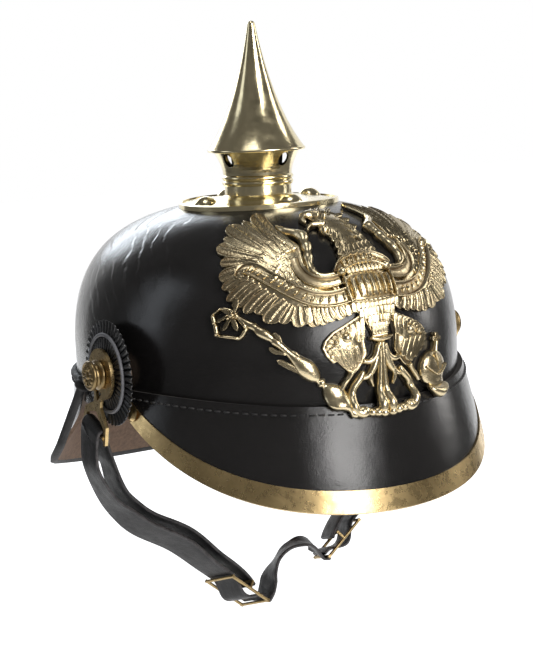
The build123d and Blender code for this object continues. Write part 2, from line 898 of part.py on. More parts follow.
def make_strap_loop(route, tail):
    """One half of the strap: down from the hanger to the slide, with the leg inside it."""
    rows = blend_points(route + list(tail), strap_steps)
    frames = strap_frames(rows)
    outer = [(p, w, f) for p, _, w, f in frames]
    inner = [(p + f * (row[4] * strap_width), w, f) for (p, _, w, f), row in zip(frames, rows)]
    inner = inner[: (len(route) - 2) * strap_steps + 1]
    top, travel, width, face = frames[0]
    centre = top + face * strap_fold_radius
    fold = []
    for i in range(1, fold_steps):
        turn = pi * i / fold_steps
        arm = face * -cos(turn) - travel * sin(turn)
        fold.append((centre + arm * strap_fold_radius, width, arm * -1))
    path = list(reversed(outer)) + fold
    path += [(p, w, f * -1) for p, w, f in inner]
    return ribbon([s[0] for s in path], [s[1] for s in path], [s[2] for s in path])


def make_strap_centre():
    frames = strap_frames(blend_points(centre_route_shares, strap_steps))
    return ribbon([f[0] for f in frames], [f[2] for f in frames], [f[3] for f in frames])


def make_strap_slide(route):
    """Rectangular slide: two end bars in front of the strap and a middle bar behind it."""
    frames = strap_frames(blend_points(route, strap_steps))
    point, travel, width, face = frames[(len(route) - 2) * strap_steps]
    bar_lift = strap_leather / 2 + slide_wire + slide_seat
    front = face * -bar_lift
    slide_width = strap_width + 2 * (slide_wire + slide_seat)
    half = width * (slide_width / 2)
    reach = travel * (slide_length / 2)
    corners = [point + front - reach - half, point + front + reach - half,
               point + front + reach + half, point + front - reach + half]
    frame = None
    for i in range(4):
        a, b = corners[i], corners[(i + 1) % 4]
        along = (b - a).normalized()
        bar = cylinder_along(a - along * slide_wire, along, slide_wire, (b - a).length + 2 * slide_wire)
        frame = bar if frame is None else frame + bar
    for side in (-1, 1):
        ear = cylinder_along(point + half * side + front, face, slide_wire, 2 * bar_lift)
        frame += ear
    middle = cylinder_along(point + face * bar_lift - half, width, slide_wire, slide_width)
    return frame + middle, travel


# Liner

def oval(solid):
    """Round solid stretched to the skull's oval plan."""
    return scale(solid, by=(1, half_length / half_width, 1))


def band_radius():
    """Outer radius of the sweatband's upper part, across the width."""
    return half_width - skull_wall - band_gap - band_stand_off


def make_sweatband():
    """Leather band that starts at the rim and is folded up, standing off the wall."""
    low = half_width - skull_wall - band_gap
    high = band_radius()
    return oval(revolved([
        (low, band_low), (high, band_fold_height), (high, band_high),
        (high - band_leather, band_high), (high - band_leather, band_fold_height),
        (low - band_leather, band_low),
    ]))


def tongue_curve(inset):
    """Profile of the tongues from inside the sweatband to the laced tips."""
    foot = band_radius() - band_leather - running_gap - inset
    return Bezier(
        (foot, 0, band_high - tongue_lap),
        (foot, 0, tongue_bow_height),
        (tongue_top_radius, 0, tongue_top_height - inset),
    )


def make_liner_tongues():
    outer = tongue_curve(0)
    inner = tongue_curve(tongue_leather)
    wall = make_face([outer, inner, Line(outer @ 0, inner @ 0), Line(outer @ 1, inner @ 1)])
    shell = revolve(wall, Axis.Z)
    for i in range(tongue_count):
        turn = 360 * i / tongue_count
        slot = Polyline((tongue_top_radius / 2, tongue_slot), (tongue_slot_reach, 0),
                        (tongue_top_radius / 2, -tongue_slot), close=True)
        cutter = extrude(make_face(slot), 2 * tongue_top_height)
        shell -= Rot(0, 0, turn) * cutter
        start = vec(lace_ring_radius, 0, tongue_bow_height)
        hole = cylinder_along(start, vec(0, 0, 1), tongue_hole_radius, tongue_bow_height)
        shell -= Rot(0, 0, turn + 180 / tongue_count) * hole
    return oval(shell)


def make_liner_lace():
    return oval(Pos(0, 0, tongue_top_height - lace_drop) * Torus(lace_ring_radius, lace_radius))


# Eagle plate: flat outlines in the front view, laid over the dome

wing_arm_shares = ((0.06, 0.53), (0.12, 0.69), (0.32, 0.72), (0.43, 0.74), (0.40, 0.82), (0.36, 0.88), (0.34, 0.94),
                   (0.42, 1.0), (0.50, 0.99))
wing_hub_share = (0.52, 0.685)
wing_root_share = (0.16, 0.48)
thigh_shares = ((0.06, 0.52), (0.50, 0.42), (0.56, 0.36), (0.50, 0.28), (0.36, 0.22), (0.42, 0.14),
                (0.48, 0.06), (0.36, 0.04), (0.30, 0.16), (0.24, 0.26), (0.08, 0.34))
neck_shares = ((-0.20, 0.52), (-0.22, 0.66), (-0.22, 0.76), (-0.15, 0.84), (-0.28, 0.81), (-0.21, 0.87),
               (-0.19, 0.94), (-0.06, 0.985), (0.05, 0.955), (0.10, 0.88), (0.14, 0.76), (0.20, 0.62),
               (0.20, 0.46), (0.10, 0.38), (-0.10, 0.38))
sceptre_shares = ((-1.10, 0.56), (-0.98, 0.60), (-0.94, 0.47), (-0.24, 0.03), (-0.34, -0.01), (-0.98, 0.38),
                  (-1.10, 0.46))
orb_share = (0.42, 0.20)
orb_radius = 6.0
orb_cross = 4.5
foot_radius = 8.0
scroll_x = 15.0
plume_bow = 18.6
plume_width = 4.2
plume_steps = 8
feather_count = 9
feather_steps = 6
feather_notch = 2.6
feather_reach = 23.5
feather_spread = 7.0
feather_first = radians(72)
feather_last = radians(-128)
feather_middle = radians(5)


def plate_point(share):
    x, up = share
    return (x * plate_half_span, 0, plate_foot + up * (plate_top - plate_foot))


def outline(shares):
    return make_face(Polyline([plate_point(s) for s in shares], close=True))


def wing_outline():
    """Wing with rounded feather tips spread round a hub, for the wearer's left."""
    hub_x, _, hub_z = plate_point(wing_hub_share)
    tips = []
    count = feather_count * feather_steps
    for i in range(count + 1):
        turn = feather_first + (feather_last - feather_first) * i / count
        along = 2 * (i % feather_steps) / feather_steps - 1
        notch = feather_notch * (1 - sqrt(1 - along ** 2))
        reach = feather_reach + feather_spread * max(0.0, cos(turn - feather_middle)) ** 2 - notch
        tips.append((hub_x + reach * cos(turn), 0, hub_z + reach * sin(turn)))
    arm = [plate_point(s) for s in wing_arm_shares]
    return make_face(Polyline(arm + tips + [plate_point(wing_root_share)], close=True))


def plume(x_low, x_high, bow):
    """Curved tail plume as a bent band from the body down to the foot."""
    top_z = plate_point(neck_shares[-1])[2]
    foot_z = plate_foot + plume_width
    centre = Bezier((x_high, 0, top_z), (bow, 0, (top_z + foot_z) / 2), (x_low, 0, foot_z))
    left, right = [], []
    for i in range(plume_steps + 1):
        t = i / plume_steps
        p = centre @ t
        half = plume_width * (1 + sin(pi * t)) / 2
        left.append((p.X - half, 0, p.Z))
        right.append((p.X + half, 0, p.Z))
    return make_face(Polyline(left + right[::-1], close=True))


def front_disc(x, z, radius):
    return Plane(origin=(x, 0, z), z_dir=(0, -1, 0)) * Circle(radius)


def columns_over(faces):
    """Faces in the front view, drawn out forwards past the dome."""
    columns = None
    for face in faces:
        column = extrude(face, amount=half_length + 2 * plate_step + overrun, dir=(0, -1, 0))
        columns = column if columns is None else columns + column
    return columns


def dome_layer(low_grow, high_grow, low, high):
    """Front half of the sheet between two grown domes and two heights."""
    size = 4 * half_length
    slab = Box(size, size, high - low, align=(Align.CENTER, Align.MAX, Align.MIN))
    shell = dome(high_grow, 0) - dome(low_grow, overrun)
    return shell & (Pos(0, 0, low) * slab)


def make_plate_loop(side):
    """Wire loop from the back of the plate through the skull's slot."""
    depth = plate_gap - plate_loop_radius - plate_loop_wire
    ring = Pos(0, 0, depth) * Rot(0, 90, 0) * Torus(plate_loop_radius, plate_loop_wire)
    return dome_plane(side * plate_loop_x, plate_loop_height, -1, 0) * ring


def make_plate_wedge(side):
    """Leather wedge through a loop, inside the skull."""
    depth = -skull_wall - wedge_gap - wedge_leather / 2
    wedge = Pos(0, 0, depth) * Box(wedge_length, wedge_height, wedge_leather)
    return dome_plane(side * plate_loop_x, plate_loop_height, -1, 0) * wedge


def make_eagle_plate():
    wing = wing_outline()
    thigh = outline(thigh_shares)
    body = outline(neck_shares)
    sceptre = outline(sceptre_shares)
    orb_x, _, orb_z = plate_point(orb_share)
    orb = front_disc(orb_x, orb_z, orb_radius)
    arm = Pos(orb_x, 0, orb_z + orb_radius) * Rot(90, 0, 0) * Rectangle(orb_cross / 2, 2 * orb_cross)
    bar = Pos(orb_x, 0, orb_z + orb_radius + orb_cross) * Rot(90, 0, 0) * Rectangle(orb_cross, orb_cross / 2)
    foot = front_disc(0, plate_foot + foot_radius, foot_radius)
    scroll = front_disc(2 * foot_radius, plate_foot + foot_radius / 2, foot_radius / 2)
    outer_plume = plume(scroll_x, plume_width, plume_bow)
    inner_plume = plume(plume_width, plume_width, 2 * plume_width)
    paired = [wing, thigh, scroll, outer_plume, inner_plume]
    flat = [body, sceptre, orb, arm, bar, foot, plume(0, 0, 0)] + paired
    flat += [mirrored(f) for f in paired]
    step_top = plate_step_height + plate_metal
    columns = columns_over(flat)
    sheet = dome_layer(plate_gap, plate_gap + plate_metal, plate_step_height, 2 * plate_top) & columns
    web = dome_layer(plate_gap, plate_step + plate_metal, plate_step_height, step_top) & columns
    toe = dome_layer(plate_step, plate_step + plate_metal, 0, step_top) & columns
    raised = columns_over([body, orb, thigh, mirrored(thigh)])
    relief = dome_layer(plate_gap, plate_gap + plate_metal + plate_relief, step_top, 2 * plate_top) & raised
    plate = sheet + web + toe + relief
    return plate - on_spike_axis(Cylinder(base_radius + seat_gap, 3 * crown_height))


def main():
    nodes = {}
    nodes["skull"] = make_skull()
    nodes["front_visor"] = make_front_visor() - rivet_hole(1) - rivet_hole(-1)
    nodes["visor_trim"] = make_visor_trim() - rivet_hole(1) - rivet_hole(-1)
    nodes["trim_rivets"] = Compound([make_trim_rivet(-1), make_trim_rivet(1)])
    nodes["neck_guard"] = make_neck_guard()
    nodes["rear_spine"] = make_rear_spine()
    nodes["spine_studs"] = Compound([make_spine_stud(plane) for plane in spine_planes()])
    nodes["spike_base"] = make_spike_base()
    nodes["base_studs"] = Compound([make_base_stud(plane) for plane in stud_planes()])
    nodes["stud_washers"] = Compound([make_base_washer(plane) for plane in stud_planes()])
    nodes["spike_neck"] = make_spike_neck()
    nodes["spike_cone"] = make_spike_cone()
    pairs = {
        "cockade_spacer": make_cockade_spacer(),
        "cockade": make_cockade(),
        "cockade_ring": make_cockade_ring(),
        "cockade_rosette": make_rosette(),
        "side_post": make_side_post(),
        "post_nut": make_post_nut(),
        "strap_hanger": make_hanger(),
        "side_knob": make_side_knob(),
    }
    for name, solid in pairs.items():
        nodes[name + "_left"] = solid
        nodes[name + "_right"] = mirrored(solid)
    right_route = hung_route(-1, right_route_shares)
    left_route = hung_route(1, left_route_shares)
    nodes["strap_right"] = make_strap_loop(right_route, ())
    nodes["strap_left"] = make_strap_loop(left_route, left_tail_shares)
    nodes["strap_centre"] = make_strap_centre()
    nodes["strap_slide_right"], travel_right = make_strap_slide(right_route)
    nodes["strap_slide_left"], travel_left = make_strap_slide(left_route)
    print("slide travel right", travel_right, "left", travel_left)
    nodes["sweatband"] = make_sweatband()
    nodes["liner_tongues"] = make_liner_tongues()
    nodes["liner_lace"] = make_liner_lace()
    nodes["eagle_plate"] = make_eagle_plate()
    nodes["plate_loops"] = Compound([make_plate_loop(-1), make_plate_loop(1)])
    nodes["plate_wedges"] = Compound([make_plate_wedge(-1), make_plate_wedge(1)])
    for name, solid in nodes.items():
        export_step(solid, "parts/" + name + ".step")


main()
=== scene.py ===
from bisect import bisect_right
from math import atan2, cos, hypot, pi, radians, sin, sqrt

import bmesh
import bpy
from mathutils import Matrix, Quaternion, Vector
from mathutils.bvhtree import BVHTree


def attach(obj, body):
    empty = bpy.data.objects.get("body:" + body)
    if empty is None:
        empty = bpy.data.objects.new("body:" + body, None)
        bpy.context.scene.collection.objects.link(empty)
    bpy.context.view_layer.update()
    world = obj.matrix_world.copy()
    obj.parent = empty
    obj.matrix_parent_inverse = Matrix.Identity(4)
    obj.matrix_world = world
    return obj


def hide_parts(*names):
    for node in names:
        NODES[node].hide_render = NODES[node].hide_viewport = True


bl_info = {
    "name": "Spiked Helmet",
    "version": (1, 0, 0),
    "blender": (4, 5, 0),
    "location": "View3D > Sidebar > Helmet",
    "description": "Dresses the packed spiked helmet with leather, brass and its small pieces",
    "category": "Object",
}

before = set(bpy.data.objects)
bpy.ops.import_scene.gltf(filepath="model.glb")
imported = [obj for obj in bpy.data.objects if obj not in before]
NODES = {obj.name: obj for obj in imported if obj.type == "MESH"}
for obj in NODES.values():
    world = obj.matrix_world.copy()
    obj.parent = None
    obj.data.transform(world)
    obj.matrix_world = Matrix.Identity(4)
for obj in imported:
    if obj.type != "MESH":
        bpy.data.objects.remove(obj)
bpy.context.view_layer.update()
SIDES = (("left", 1), ("right", -1))


class HelmetLeather(bpy.types.PropertyGroup):
    black: bpy.props.FloatVectorProperty(
        name="Black leather", description="Colour of the lacquered leather",
        subtype="COLOR", size=3, min=0, max=1, default=(0.0085, 0.0080, 0.0078))
    gloss: bpy.props.FloatProperty(
        name="Gloss roughness", description="Roughness of the lacquer on skull and visor",
        subtype="FACTOR", min=0, max=1, default=0.17)
    suede: bpy.props.FloatVectorProperty(
        name="Suede", description="Colour of the rough side of the neck guard",
        subtype="COLOR", size=3, min=0, max=1, default=(0.25, 0.165, 0.115))
    strap: bpy.props.FloatVectorProperty(
        name="Strap leather", description="Colour of the chin strap",
        subtype="COLOR", size=3, min=0, max=1, default=(0.017, 0.0165, 0.0175))
    # Pale colour of the strap's edges: partly burnished wear, partly painted highlight
    edge: bpy.props.FloatVectorProperty(
        name="Strap edge", description="Colour of the strap's burnished edges",
        subtype="COLOR", size=3, min=0, max=1, default=(0.085, 0.08, 0.082))
    liner: bpy.props.FloatVectorProperty(
        name="Liner leather", description="Colour of the sweatband and the tongues",
        subtype="COLOR", size=3, min=0, max=1, default=(0.26, 0.15, 0.08))


class HelmetBrass(bpy.types.PropertyGroup):
    pale: bpy.props.FloatVectorProperty(
        name="Pale brass", description="Polished brass of spike and base",
        subtype="COLOR", size=3, min=0, max=1, default=(0.78, 0.68, 0.43))
    yellow: bpy.props.FloatVectorProperty(
        name="Yellow brass", description="Stamped brass of the eagle",
        subtype="COLOR", size=3, min=0, max=1, default=(0.72, 0.61, 0.39))
    warm: bpy.props.FloatVectorProperty(
        name="Warm brass", description="Worn brass of hangers, knobs and trim",
        subtype="COLOR", size=3, min=0, max=1, default=(0.74, 0.55, 0.27))
    patina: bpy.props.FloatVectorProperty(
        name="Patina", description="Brown film in the recesses of the brass",
        subtype="COLOR", size=3, min=0, max=1, default=(0.115, 0.068, 0.03))


class HelmetPlate(bpy.types.PropertyGroup):
    square: bpy.props.FloatProperty(
        name="Drawing square", description="Size of one square of the plate's drawing",
        subtype="DISTANCE", unit="LENGTH", min=0.008, max=0.012, precision=4, default=0.010)
    shift: bpy.props.FloatProperty(
        name="Sideways shift", description="Place of the plate's middle line beside the helmet's",
        subtype="DISTANCE", unit="LENGTH", min=-0.01, max=0.01, precision=4, default=-0.0035)
    relief: bpy.props.FloatProperty(
        name="Relief", description="Height of the highest forms over the sheet",
        subtype="DISTANCE", unit="LENGTH", min=0.001, max=0.006, precision=4, default=0.0035)
    thickness: bpy.props.FloatProperty(
        name="Sheet thickness", description="Thickness of the sheet at its edges",
        subtype="DISTANCE", unit="LENGTH", min=0.0005, max=0.002, precision=4, default=0.0011)
    step: bpy.props.FloatProperty(
        name="Foot step", description="Distance that the foot stands out over the visor's flange",
        subtype="DISTANCE", unit="LENGTH", min=0.003, max=0.006, precision=4, default=0.0042)
    flange_top: bpy.props.FloatProperty(
        name="Flange top", description="Height of the visor's flange in front",
        subtype="DISTANCE", unit="LENGTH", min=0.006, max=0.012, precision=4, default=0.0085)


class HelmetStage(bpy.types.PropertyGroup):
    backdrop: bpy.props.FloatVectorProperty(
        name="Backdrop", description="Colour of the floor and of the space behind the helmet",
        subtype="COLOR", size=3, min=0, max=1, default=(1.0, 1.0, 1.0))
    floor_drop: bpy.props.FloatProperty(
        name="Floor drop", description="Depth of the floor under the origin",
        subtype="DISTANCE", unit="LENGTH", min=0.12, max=1, default=0.20)
    floor_glow: bpy.props.FloatProperty(
        name="Floor glow", description="Share of the floor's white that doesn't come from the lamps",
        subtype="FACTOR", min=0, max=1, default=0.72)
    fill: bpy.props.FloatProperty(
        name="Fill light", description="Strength of the even light from all sides",
        min=0, max=1, default=0.32)
    flag: bpy.props.FloatVectorProperty(
        name="Flag", description="Colour of the dark cloth that the brass and the lacquer mirror",
        subtype="COLOR", size=3, min=0, max=1, default=(0.26, 0.255, 0.25))
    lens: bpy.props.FloatProperty(
        name="Lens", description="Focal length of the camera in millimetres",
        min=20, max=200, default=80.47)


# Shader parts

def new_material(name):
    material = bpy.data.materials.new(name)
    material.use_nodes = True
    tree = material.node_tree
    return material, tree, tree.nodes["Principled BSDF"]


def place(tree):
    return tree.nodes.new("ShaderNodeTexCoord").outputs["Object"]


def noise(tree, scale, detail, roughness):
    """Noise over the object's own space, with scale in waves per metre."""
    node = tree.nodes.new("ShaderNodeTexNoise")
    node.inputs["Scale"].default_value = scale
    node.inputs["Detail"].default_value = detail
    node.inputs["Roughness"].default_value = roughness
    tree.links.new(place(tree), node.inputs["Vector"])
    return node.outputs["Fac"]


def cells(tree, scale):
    """Pores: the distance to the nearest edge between cells."""
    node = tree.nodes.new("ShaderNodeTexVoronoi")
    node.feature = "DISTANCE_TO_EDGE"
    node.inputs["Scale"].default_value = scale
    tree.links.new(place(tree), node.inputs["Vector"])
    return node.outputs["Distance"]


def ramp(tree, source, low, high, start=0.0, end=1.0):
    """Source between low and high turned into start to end, and clamped there."""
    node = tree.nodes.new("ShaderNodeMapRange")
    node.inputs["From Min"].default_value = low
    node.inputs["From Max"].default_value = high
    node.inputs["To Min"].default_value = start
    node.inputs["To Max"].default_value = end
    tree.links.new(source, node.inputs["Value"])
    return node.outputs["Result"]


def blend_colours(tree, share, first, second):
    node = tree.nodes.new("ShaderNodeMix")
    node.data_type = "RGBA"
    tree.links.new(share, node.inputs["Factor"])
    for value, socket in ((first, node.inputs["A"]), (second, node.inputs["B"])):
        if isinstance(value, bpy.types.NodeSocket):
            tree.links.new(value, socket)
        else:
            socket.default_value = (*value, 1.0)
    return node.outputs["Result"]


def combine(tree, operation, first, second):
    node = tree.nodes.new("ShaderNodeMath")
    node.operation = operation
    for value, socket in zip((first, second), node.inputs):
        if isinstance(value, bpy.types.NodeSocket):
            tree.links.new(value, socket)
        else:
            socket.default_value = value
    return node.outputs["Value"]


def add_bump(tree, shader, height, distance):
    """Adds a layer of relief, with its depth in metres, over what the shader already has."""
    node = tree.nodes.new("ShaderNodeBump")
    node.inputs["Strength"].default_value = 1.0
    node.inputs["Distance"].default_value = distance
    tree.links.new(height, node.inputs["Height"])
    socket = shader.inputs["Normal"]
    if socket.links:
        tree.links.new(socket.links[0].from_socket, node.inputs["Normal"])
    tree.links.new(node.outputs["Normal"], socket)


def outward(tree):
    """Positive where a surface faces away from the helmet's upright axis."""
    geometry = tree.nodes.new("ShaderNodeNewGeometry")
    flat = tree.nodes.new("ShaderNodeVectorMath")
    flat.operation = "MULTIPLY"
    flat.inputs[1].default_value = (1, 1, 0)
    tree.links.new(place(tree), flat.inputs[0])
    unit = tree.nodes.new("ShaderNodeVectorMath")
    unit.operation = "NORMALIZE"
    tree.links.new(flat.outputs["Vector"], unit.inputs[0])
    node = tree.nodes.new("ShaderNodeVectorMath")
    node.operation = "DOT_PRODUCT"
    tree.links.new(unit.outputs["Vector"], node.inputs[0])
    tree.links.new(geometry.outputs["Normal"], node.inputs[1])
    return node.outputs["Value"]


# Finishes. Depths of the relief in metres

LACQUER_WAVE, LACQUER_PEEL, LACQUER_GRAIN, LACQUER_PORE = 0.0008, 0.00007, 0.00005, 0.00003
CREASE_PLACE, CREASE_REACH, CREASE_DEPTH = (-0.061, 0.006, 0.083), 0.055, 0.00035
BRASS_DENT, BRASS_SCRATCH, STAMP_GRAIN = 0.0002, 0.00002, 0.00012
LEATHER_DENT, LEATHER_GRAIN_SHARE, PLAIN_GRAIN = 0.0004, 0.16, 0.00005
STRAP_GRAIN, STRAP_WAVE = 0.00009, 0.00035


def shaded(colour, share):
    return tuple(share * c for c in colour)


def mixed(colour, other, share):
    return tuple((1 - share) * c + share * p for c, p in zip(colour, other))


def lacquered_leather(name, leather, inside, crease):
    """Black lacquer over leather, with the rough brown side of the hide facing the head."""
    material, tree, shader = new_material(name)
    tone = blend_colours(tree, ramp(tree, noise(tree, 14, 4, 0.6), 0.35, 0.7),
                         tuple(leather.black), shaded(leather.black, 1.7))
    hide = blend_colours(tree, ramp(tree, noise(tree, 420, 6, 0.75), 0.3, 0.7),
                         shaded(inside, 0.6), shaded(inside, 1.2))
    face = ramp(tree, outward(tree), -0.16, -0.06)
    tree.links.new(blend_colours(tree, face, hide, tone), shader.inputs["Base Color"])
    worn = ramp(tree, noise(tree, 38, 6, 0.62), 0.35, 0.75, leather.gloss - 0.04, leather.gloss + 0.10)
    rough = tree.nodes.new("ShaderNodeMix")
    rough.inputs["A"].default_value = 0.85
    tree.links.new(face, rough.inputs["Factor"])
    tree.links.new(worn, rough.inputs["B"])
    tree.links.new(rough.outputs["Result"], shader.inputs["Roughness"])
    add_bump(tree, shader, noise(tree, 26, 2, 0.45), LACQUER_WAVE)
    add_bump(tree, shader, noise(tree, 190, 2, 0.5), LACQUER_PEEL)
    add_bump(tree, shader, noise(tree, 900, 2, 0.5), LACQUER_GRAIN)
    add_bump(tree, shader, combine(tree, "POWER", cells(tree, 1300), 0.5), LACQUER_PORE)
    if crease:
        add_bump(tree, shader, creases(tree), CREASE_DEPTH)
    return material


def creases(tree):
    """Fine lines across one shoulder of the dome, where the hide was pulled over the block."""
    wave = tree.nodes.new("ShaderNodeTexWave")
    wave.wave_profile = "SAW"
    wave.inputs["Scale"].default_value = 42
    wave.inputs["Distortion"].default_value = 9
    wave.inputs["Detail"].default_value = 3
    wave.inputs["Detail Scale"].default_value = 0.9
    mapping = tree.nodes.new("ShaderNodeMapping")
    mapping.inputs["Rotation"].default_value = (0.5, 0.4, radians(64))
    tree.links.new(place(tree), mapping.inputs["Vector"])
    tree.links.new(mapping.outputs["Vector"], wave.inputs["Vector"])
    away = tree.nodes.new("ShaderNodeVectorMath")
    away.operation = "DISTANCE"
    away.inputs[1].default_value = CREASE_PLACE
    tree.links.new(place(tree), away.inputs[0])
    near = ramp(tree, away.outputs["Value"], CREASE_REACH, 0.2 * CREASE_REACH)
    patchy = combine(tree, "MULTIPLY", near, ramp(tree, noise(tree, 55, 2, 0.5), 0.4, 0.62))
    return combine(tree, "MULTIPLY", ramp(tree, wave.outputs["Fac"], 0.82, 1.0), patchy)


def brass(name, colour, patina, roughness, film, scale=45):
    """Worn brass: film is the share of the surface that the brown film covers."""
    material, tree, shader = new_material(name)
    cover = ramp(tree, noise(tree, scale, 7, 0.66), 0.62 - film, 0.98 - film)
    tone = blend_colours(tree, cover, tuple(colour), mixed(colour, patina, 0.5))
    tree.links.new(tone, shader.inputs["Base Color"])
    shader.inputs["Metallic"].default_value = 1.0
    rough = ramp(tree, noise(tree, 4 * scale, 5, 0.6), 0.3, 0.75, roughness - 0.05, roughness + 0.14)
    tree.links.new(rough, shader.inputs["Roughness"])
    add_bump(tree, shader, noise(tree, 90, 3, 0.5), BRASS_DENT)
    add_bump(tree, shader, noise(tree, 1400, 2, 0.5), BRASS_SCRATCH)
    return material


def dyed_leather(name, colour, roughness, grain):
    """Plain leather with pores, grain metres apart, and a drift of colour."""
    material, tree, shader = new_material(name)
    share = ramp(tree, noise(tree, 70, 5, 0.6), 0.3, 0.72)
    tone = blend_colours(tree, share, shaded(colour, 0.62), shaded(colour, 1.7))
    tree.links.new(tone, shader.inputs["Base Color"])
    rough = ramp(tree, noise(tree, 210, 4, 0.6), 0.3, 0.7, roughness - 0.08, roughness + 0.1)
    tree.links.new(rough, shader.inputs["Roughness"])
    add_bump(tree, shader, cells(tree, 1 / grain), grain * LEATHER_GRAIN_SHARE)
    add_bump(tree, shader, noise(tree, 130, 3, 0.5), LEATHER_DENT)
    return material


def plain(name, colour, metallic, roughness, scale):
    """Matt or metal finish with a fine drift of its tone, scale in waves per metre."""
    material, tree, shader = new_material(name)
    share = ramp(tree, noise(tree, scale, 5, 0.6), 0.3, 0.7)
    tone = blend_colours(tree, share, shaded(colour, 0.7), tuple(colour))
    tree.links.new(tone, shader.inputs["Base Color"])
    shader.inputs["Metallic"].default_value = metallic
    rough = ramp(tree, noise(tree, 3 * scale, 4, 0.6), 0.3, 0.7, roughness - 0.06, roughness + 0.1)
    tree.links.new(rough, shader.inputs["Roughness"])
    add_bump(tree, shader, noise(tree, 6 * scale, 2, 0.5), PLAIN_GRAIN)
    return material


def stamped_brass(name, colour, patina):
    """Stamped brass whose polish goes from the dark hollows to the rubbed ridges."""
    material, tree, shader = new_material(name)
    polish = tree.nodes.new("ShaderNodeAttribute")
    polish.attribute_name = "polish"
    drift = ramp(tree, noise(tree, 60, 5, 0.65), 0.3, 0.7, -0.2, 0.2)
    worn = combine(tree, "ADD", polish.outputs["Fac"], drift)
    rubbed = ramp(tree, worn, 0.05, 0.55)
    film = ramp(tree, noise(tree, 24, 4, 0.6), 0.35, 0.7)
    metal = blend_colours(tree, film, tuple(colour), mixed(colour, patina, 0.45))
    tree.links.new(blend_colours(tree, rubbed, tuple(patina), metal), shader.inputs["Base Color"])
    shader.inputs["Metallic"].default_value = 1.0
    tree.links.new(ramp(tree, rubbed, 0.0, 1.0, 0.5, 0.24), shader.inputs["Roughness"])
    add_bump(tree, shader, noise(tree, 900, 3, 0.6), STAMP_GRAIN)
    return material


def paint(names, material):
    for name in names:
        mesh = NODES[name].data
        mesh.materials.clear()
        mesh.materials.append(material)


def both(*names):
    return [name + "_" + side for name in names for side, _ in SIDES]


# The skull's dome, as the plate is bent to it

WIDE, LONG, CROWN, BELT = 0.092, 0.1058, 0.0943, 0.024
SHOULDER_SHARE, CROWN_SHARE = 0.77, 0.64
PROFILE_STEPS = 240


def profile_shares(t):
    """Share of the width and of the rise over the belt, from the belt up to the crown."""
    s = 1 - t
    width = s ** 3 + 3 * s * s * t + 3 * s * t * t * CROWN_SHARE
    rise = 3 * s * s * t * SHOULDER_SHARE + 3 * s * t * t + t ** 3
    return width, rise


PROFILE = [profile_shares(i / PROFILE_STEPS) for i in range(PROFILE_STEPS + 1)]
PROFILE_TURNS = [atan2(w, q) for q, w in PROFILE]


def profile_at(turn):
    """Place and slope of the profile in a direction from the belt's centre."""
    i = min(max(bisect_right(PROFILE_TURNS, turn), 1), PROFILE_STEPS)
    low, high = PROFILE_TURNS[i - 1], PROFILE_TURNS[i]
    share = (turn - low) / (high - low)
    (q0, w0), (q1, w1) = PROFILE[i - 1], PROFILE[i]
    return q0 + (q1 - q0) * share, w0 + (w1 - w0) * share, q1 - q0, w1 - w0


def on_dome(p, lift):
    """Point over the dome in the direction of p, lifted off the surface."""
    rise = CROWN - BELT
    q = hypot(p.x / WIDE, p.y / LONG)
    w = (p.z - BELT) / rise
    if w <= 0:
        foot = Vector((p.x / q, p.y / q, p.z))
        normal = Vector((foot.x / WIDE ** 2, foot.y / LONG ** 2, 0)).normalized()
        return foot + normal * lift
    pq, pw, dq, dw = profile_at(atan2(w, q))
    scale = hypot(pq, pw) / hypot(q, w)
    foot = Vector((p.x * scale, p.y * scale, BELT + (p.z - BELT) * scale))
    slope = dw / pq
    normal = Vector((slope * foot.x / WIDE ** 2, slope * foot.y / LONG ** 2, -dq / rise)).normalized()
    return foot + normal * lift


def front_line():
    """Points up the middle of the dome's front with the way along the surface to each."""
    rows = [(0.0, LONG, 0.0)]
    for q, w in PROFILE:
        y, z = q * LONG, BELT + w * (CROWN - BELT)
        way, last_y, last_z = rows[-1]
        rows.append((way + hypot(y - last_y, z - last_z), y, z))
    return rows


FRONT_LINE = front_line()
FRONT_WAYS = [row[0] for row in FRONT_LINE]


def bend_to_dome(u, v, lift):
    """Place of a point of the flat plate, u to the side and v up, once it is bent to the dome."""
    i = min(max(bisect_right(FRONT_WAYS, v), 1), len(FRONT_WAYS) - 1)
    low, high = FRONT_LINE[i - 1], FRONT_LINE[i]
    share = (v - low[0]) / (high[0] - low[0])
    y, z = low[1] + (high[1] - low[1]) * share, low[2] + (high[2] - low[2]) * share
    middle = Vector((0, -y, z))
    normal = on_dome(middle, 1) - on_dome(middle, 0)
    turn = u / WIDE
    inwards = WIDE * (1 - cos(turn))
    return on_dome(middle + Vector((WIDE * sin(turn), 0, 0)) - normal * inwards, lift)


# Relief of the plate. Its drawing is in squares from the middle line and the foot

def smooth(low, high, value):
    share = min(max((value - low) / (high - low), 0.0), 1.0)
    return share * share * (3 - 2 * share)


def curve_through(points, steps):
    """Catmull-Rom rows through rows of numbers."""
    ends = [points[0]] + list(points) + [points[-1]]
    rows = []
    for a, b, c, d in zip(ends, ends[1:], ends[2:], ends[3:]):
        for k in range(steps):
            t = k / steps
            rows.append([0.5 * (2 * q + (r - p) * t + (2 * p - 5 * q + 4 * r - s) * t * t
                                + (3 * q - p - 3 * r + s) * t ** 3) for p, q, r, s in zip(a, b, c, d)])
    rows.append(list(points[-1]))
    return rows


THIN_SHARE = 0.004
BARBED_SHARE = 0.24
TIP_START_SHARE = 0.76
CUSHION_SHARES = (
    (1.0, 0, 0.3), (1.0, 0.35, 0.9), (0.95, 0.45, 1.0), (0.88, 0.20, 0.2),
    (0.7, 0.6, 0.5), (0.45, 0.86, 0.6), (0.2, 0.98, 0.7), (0.02, 1.0, 0.7),
)


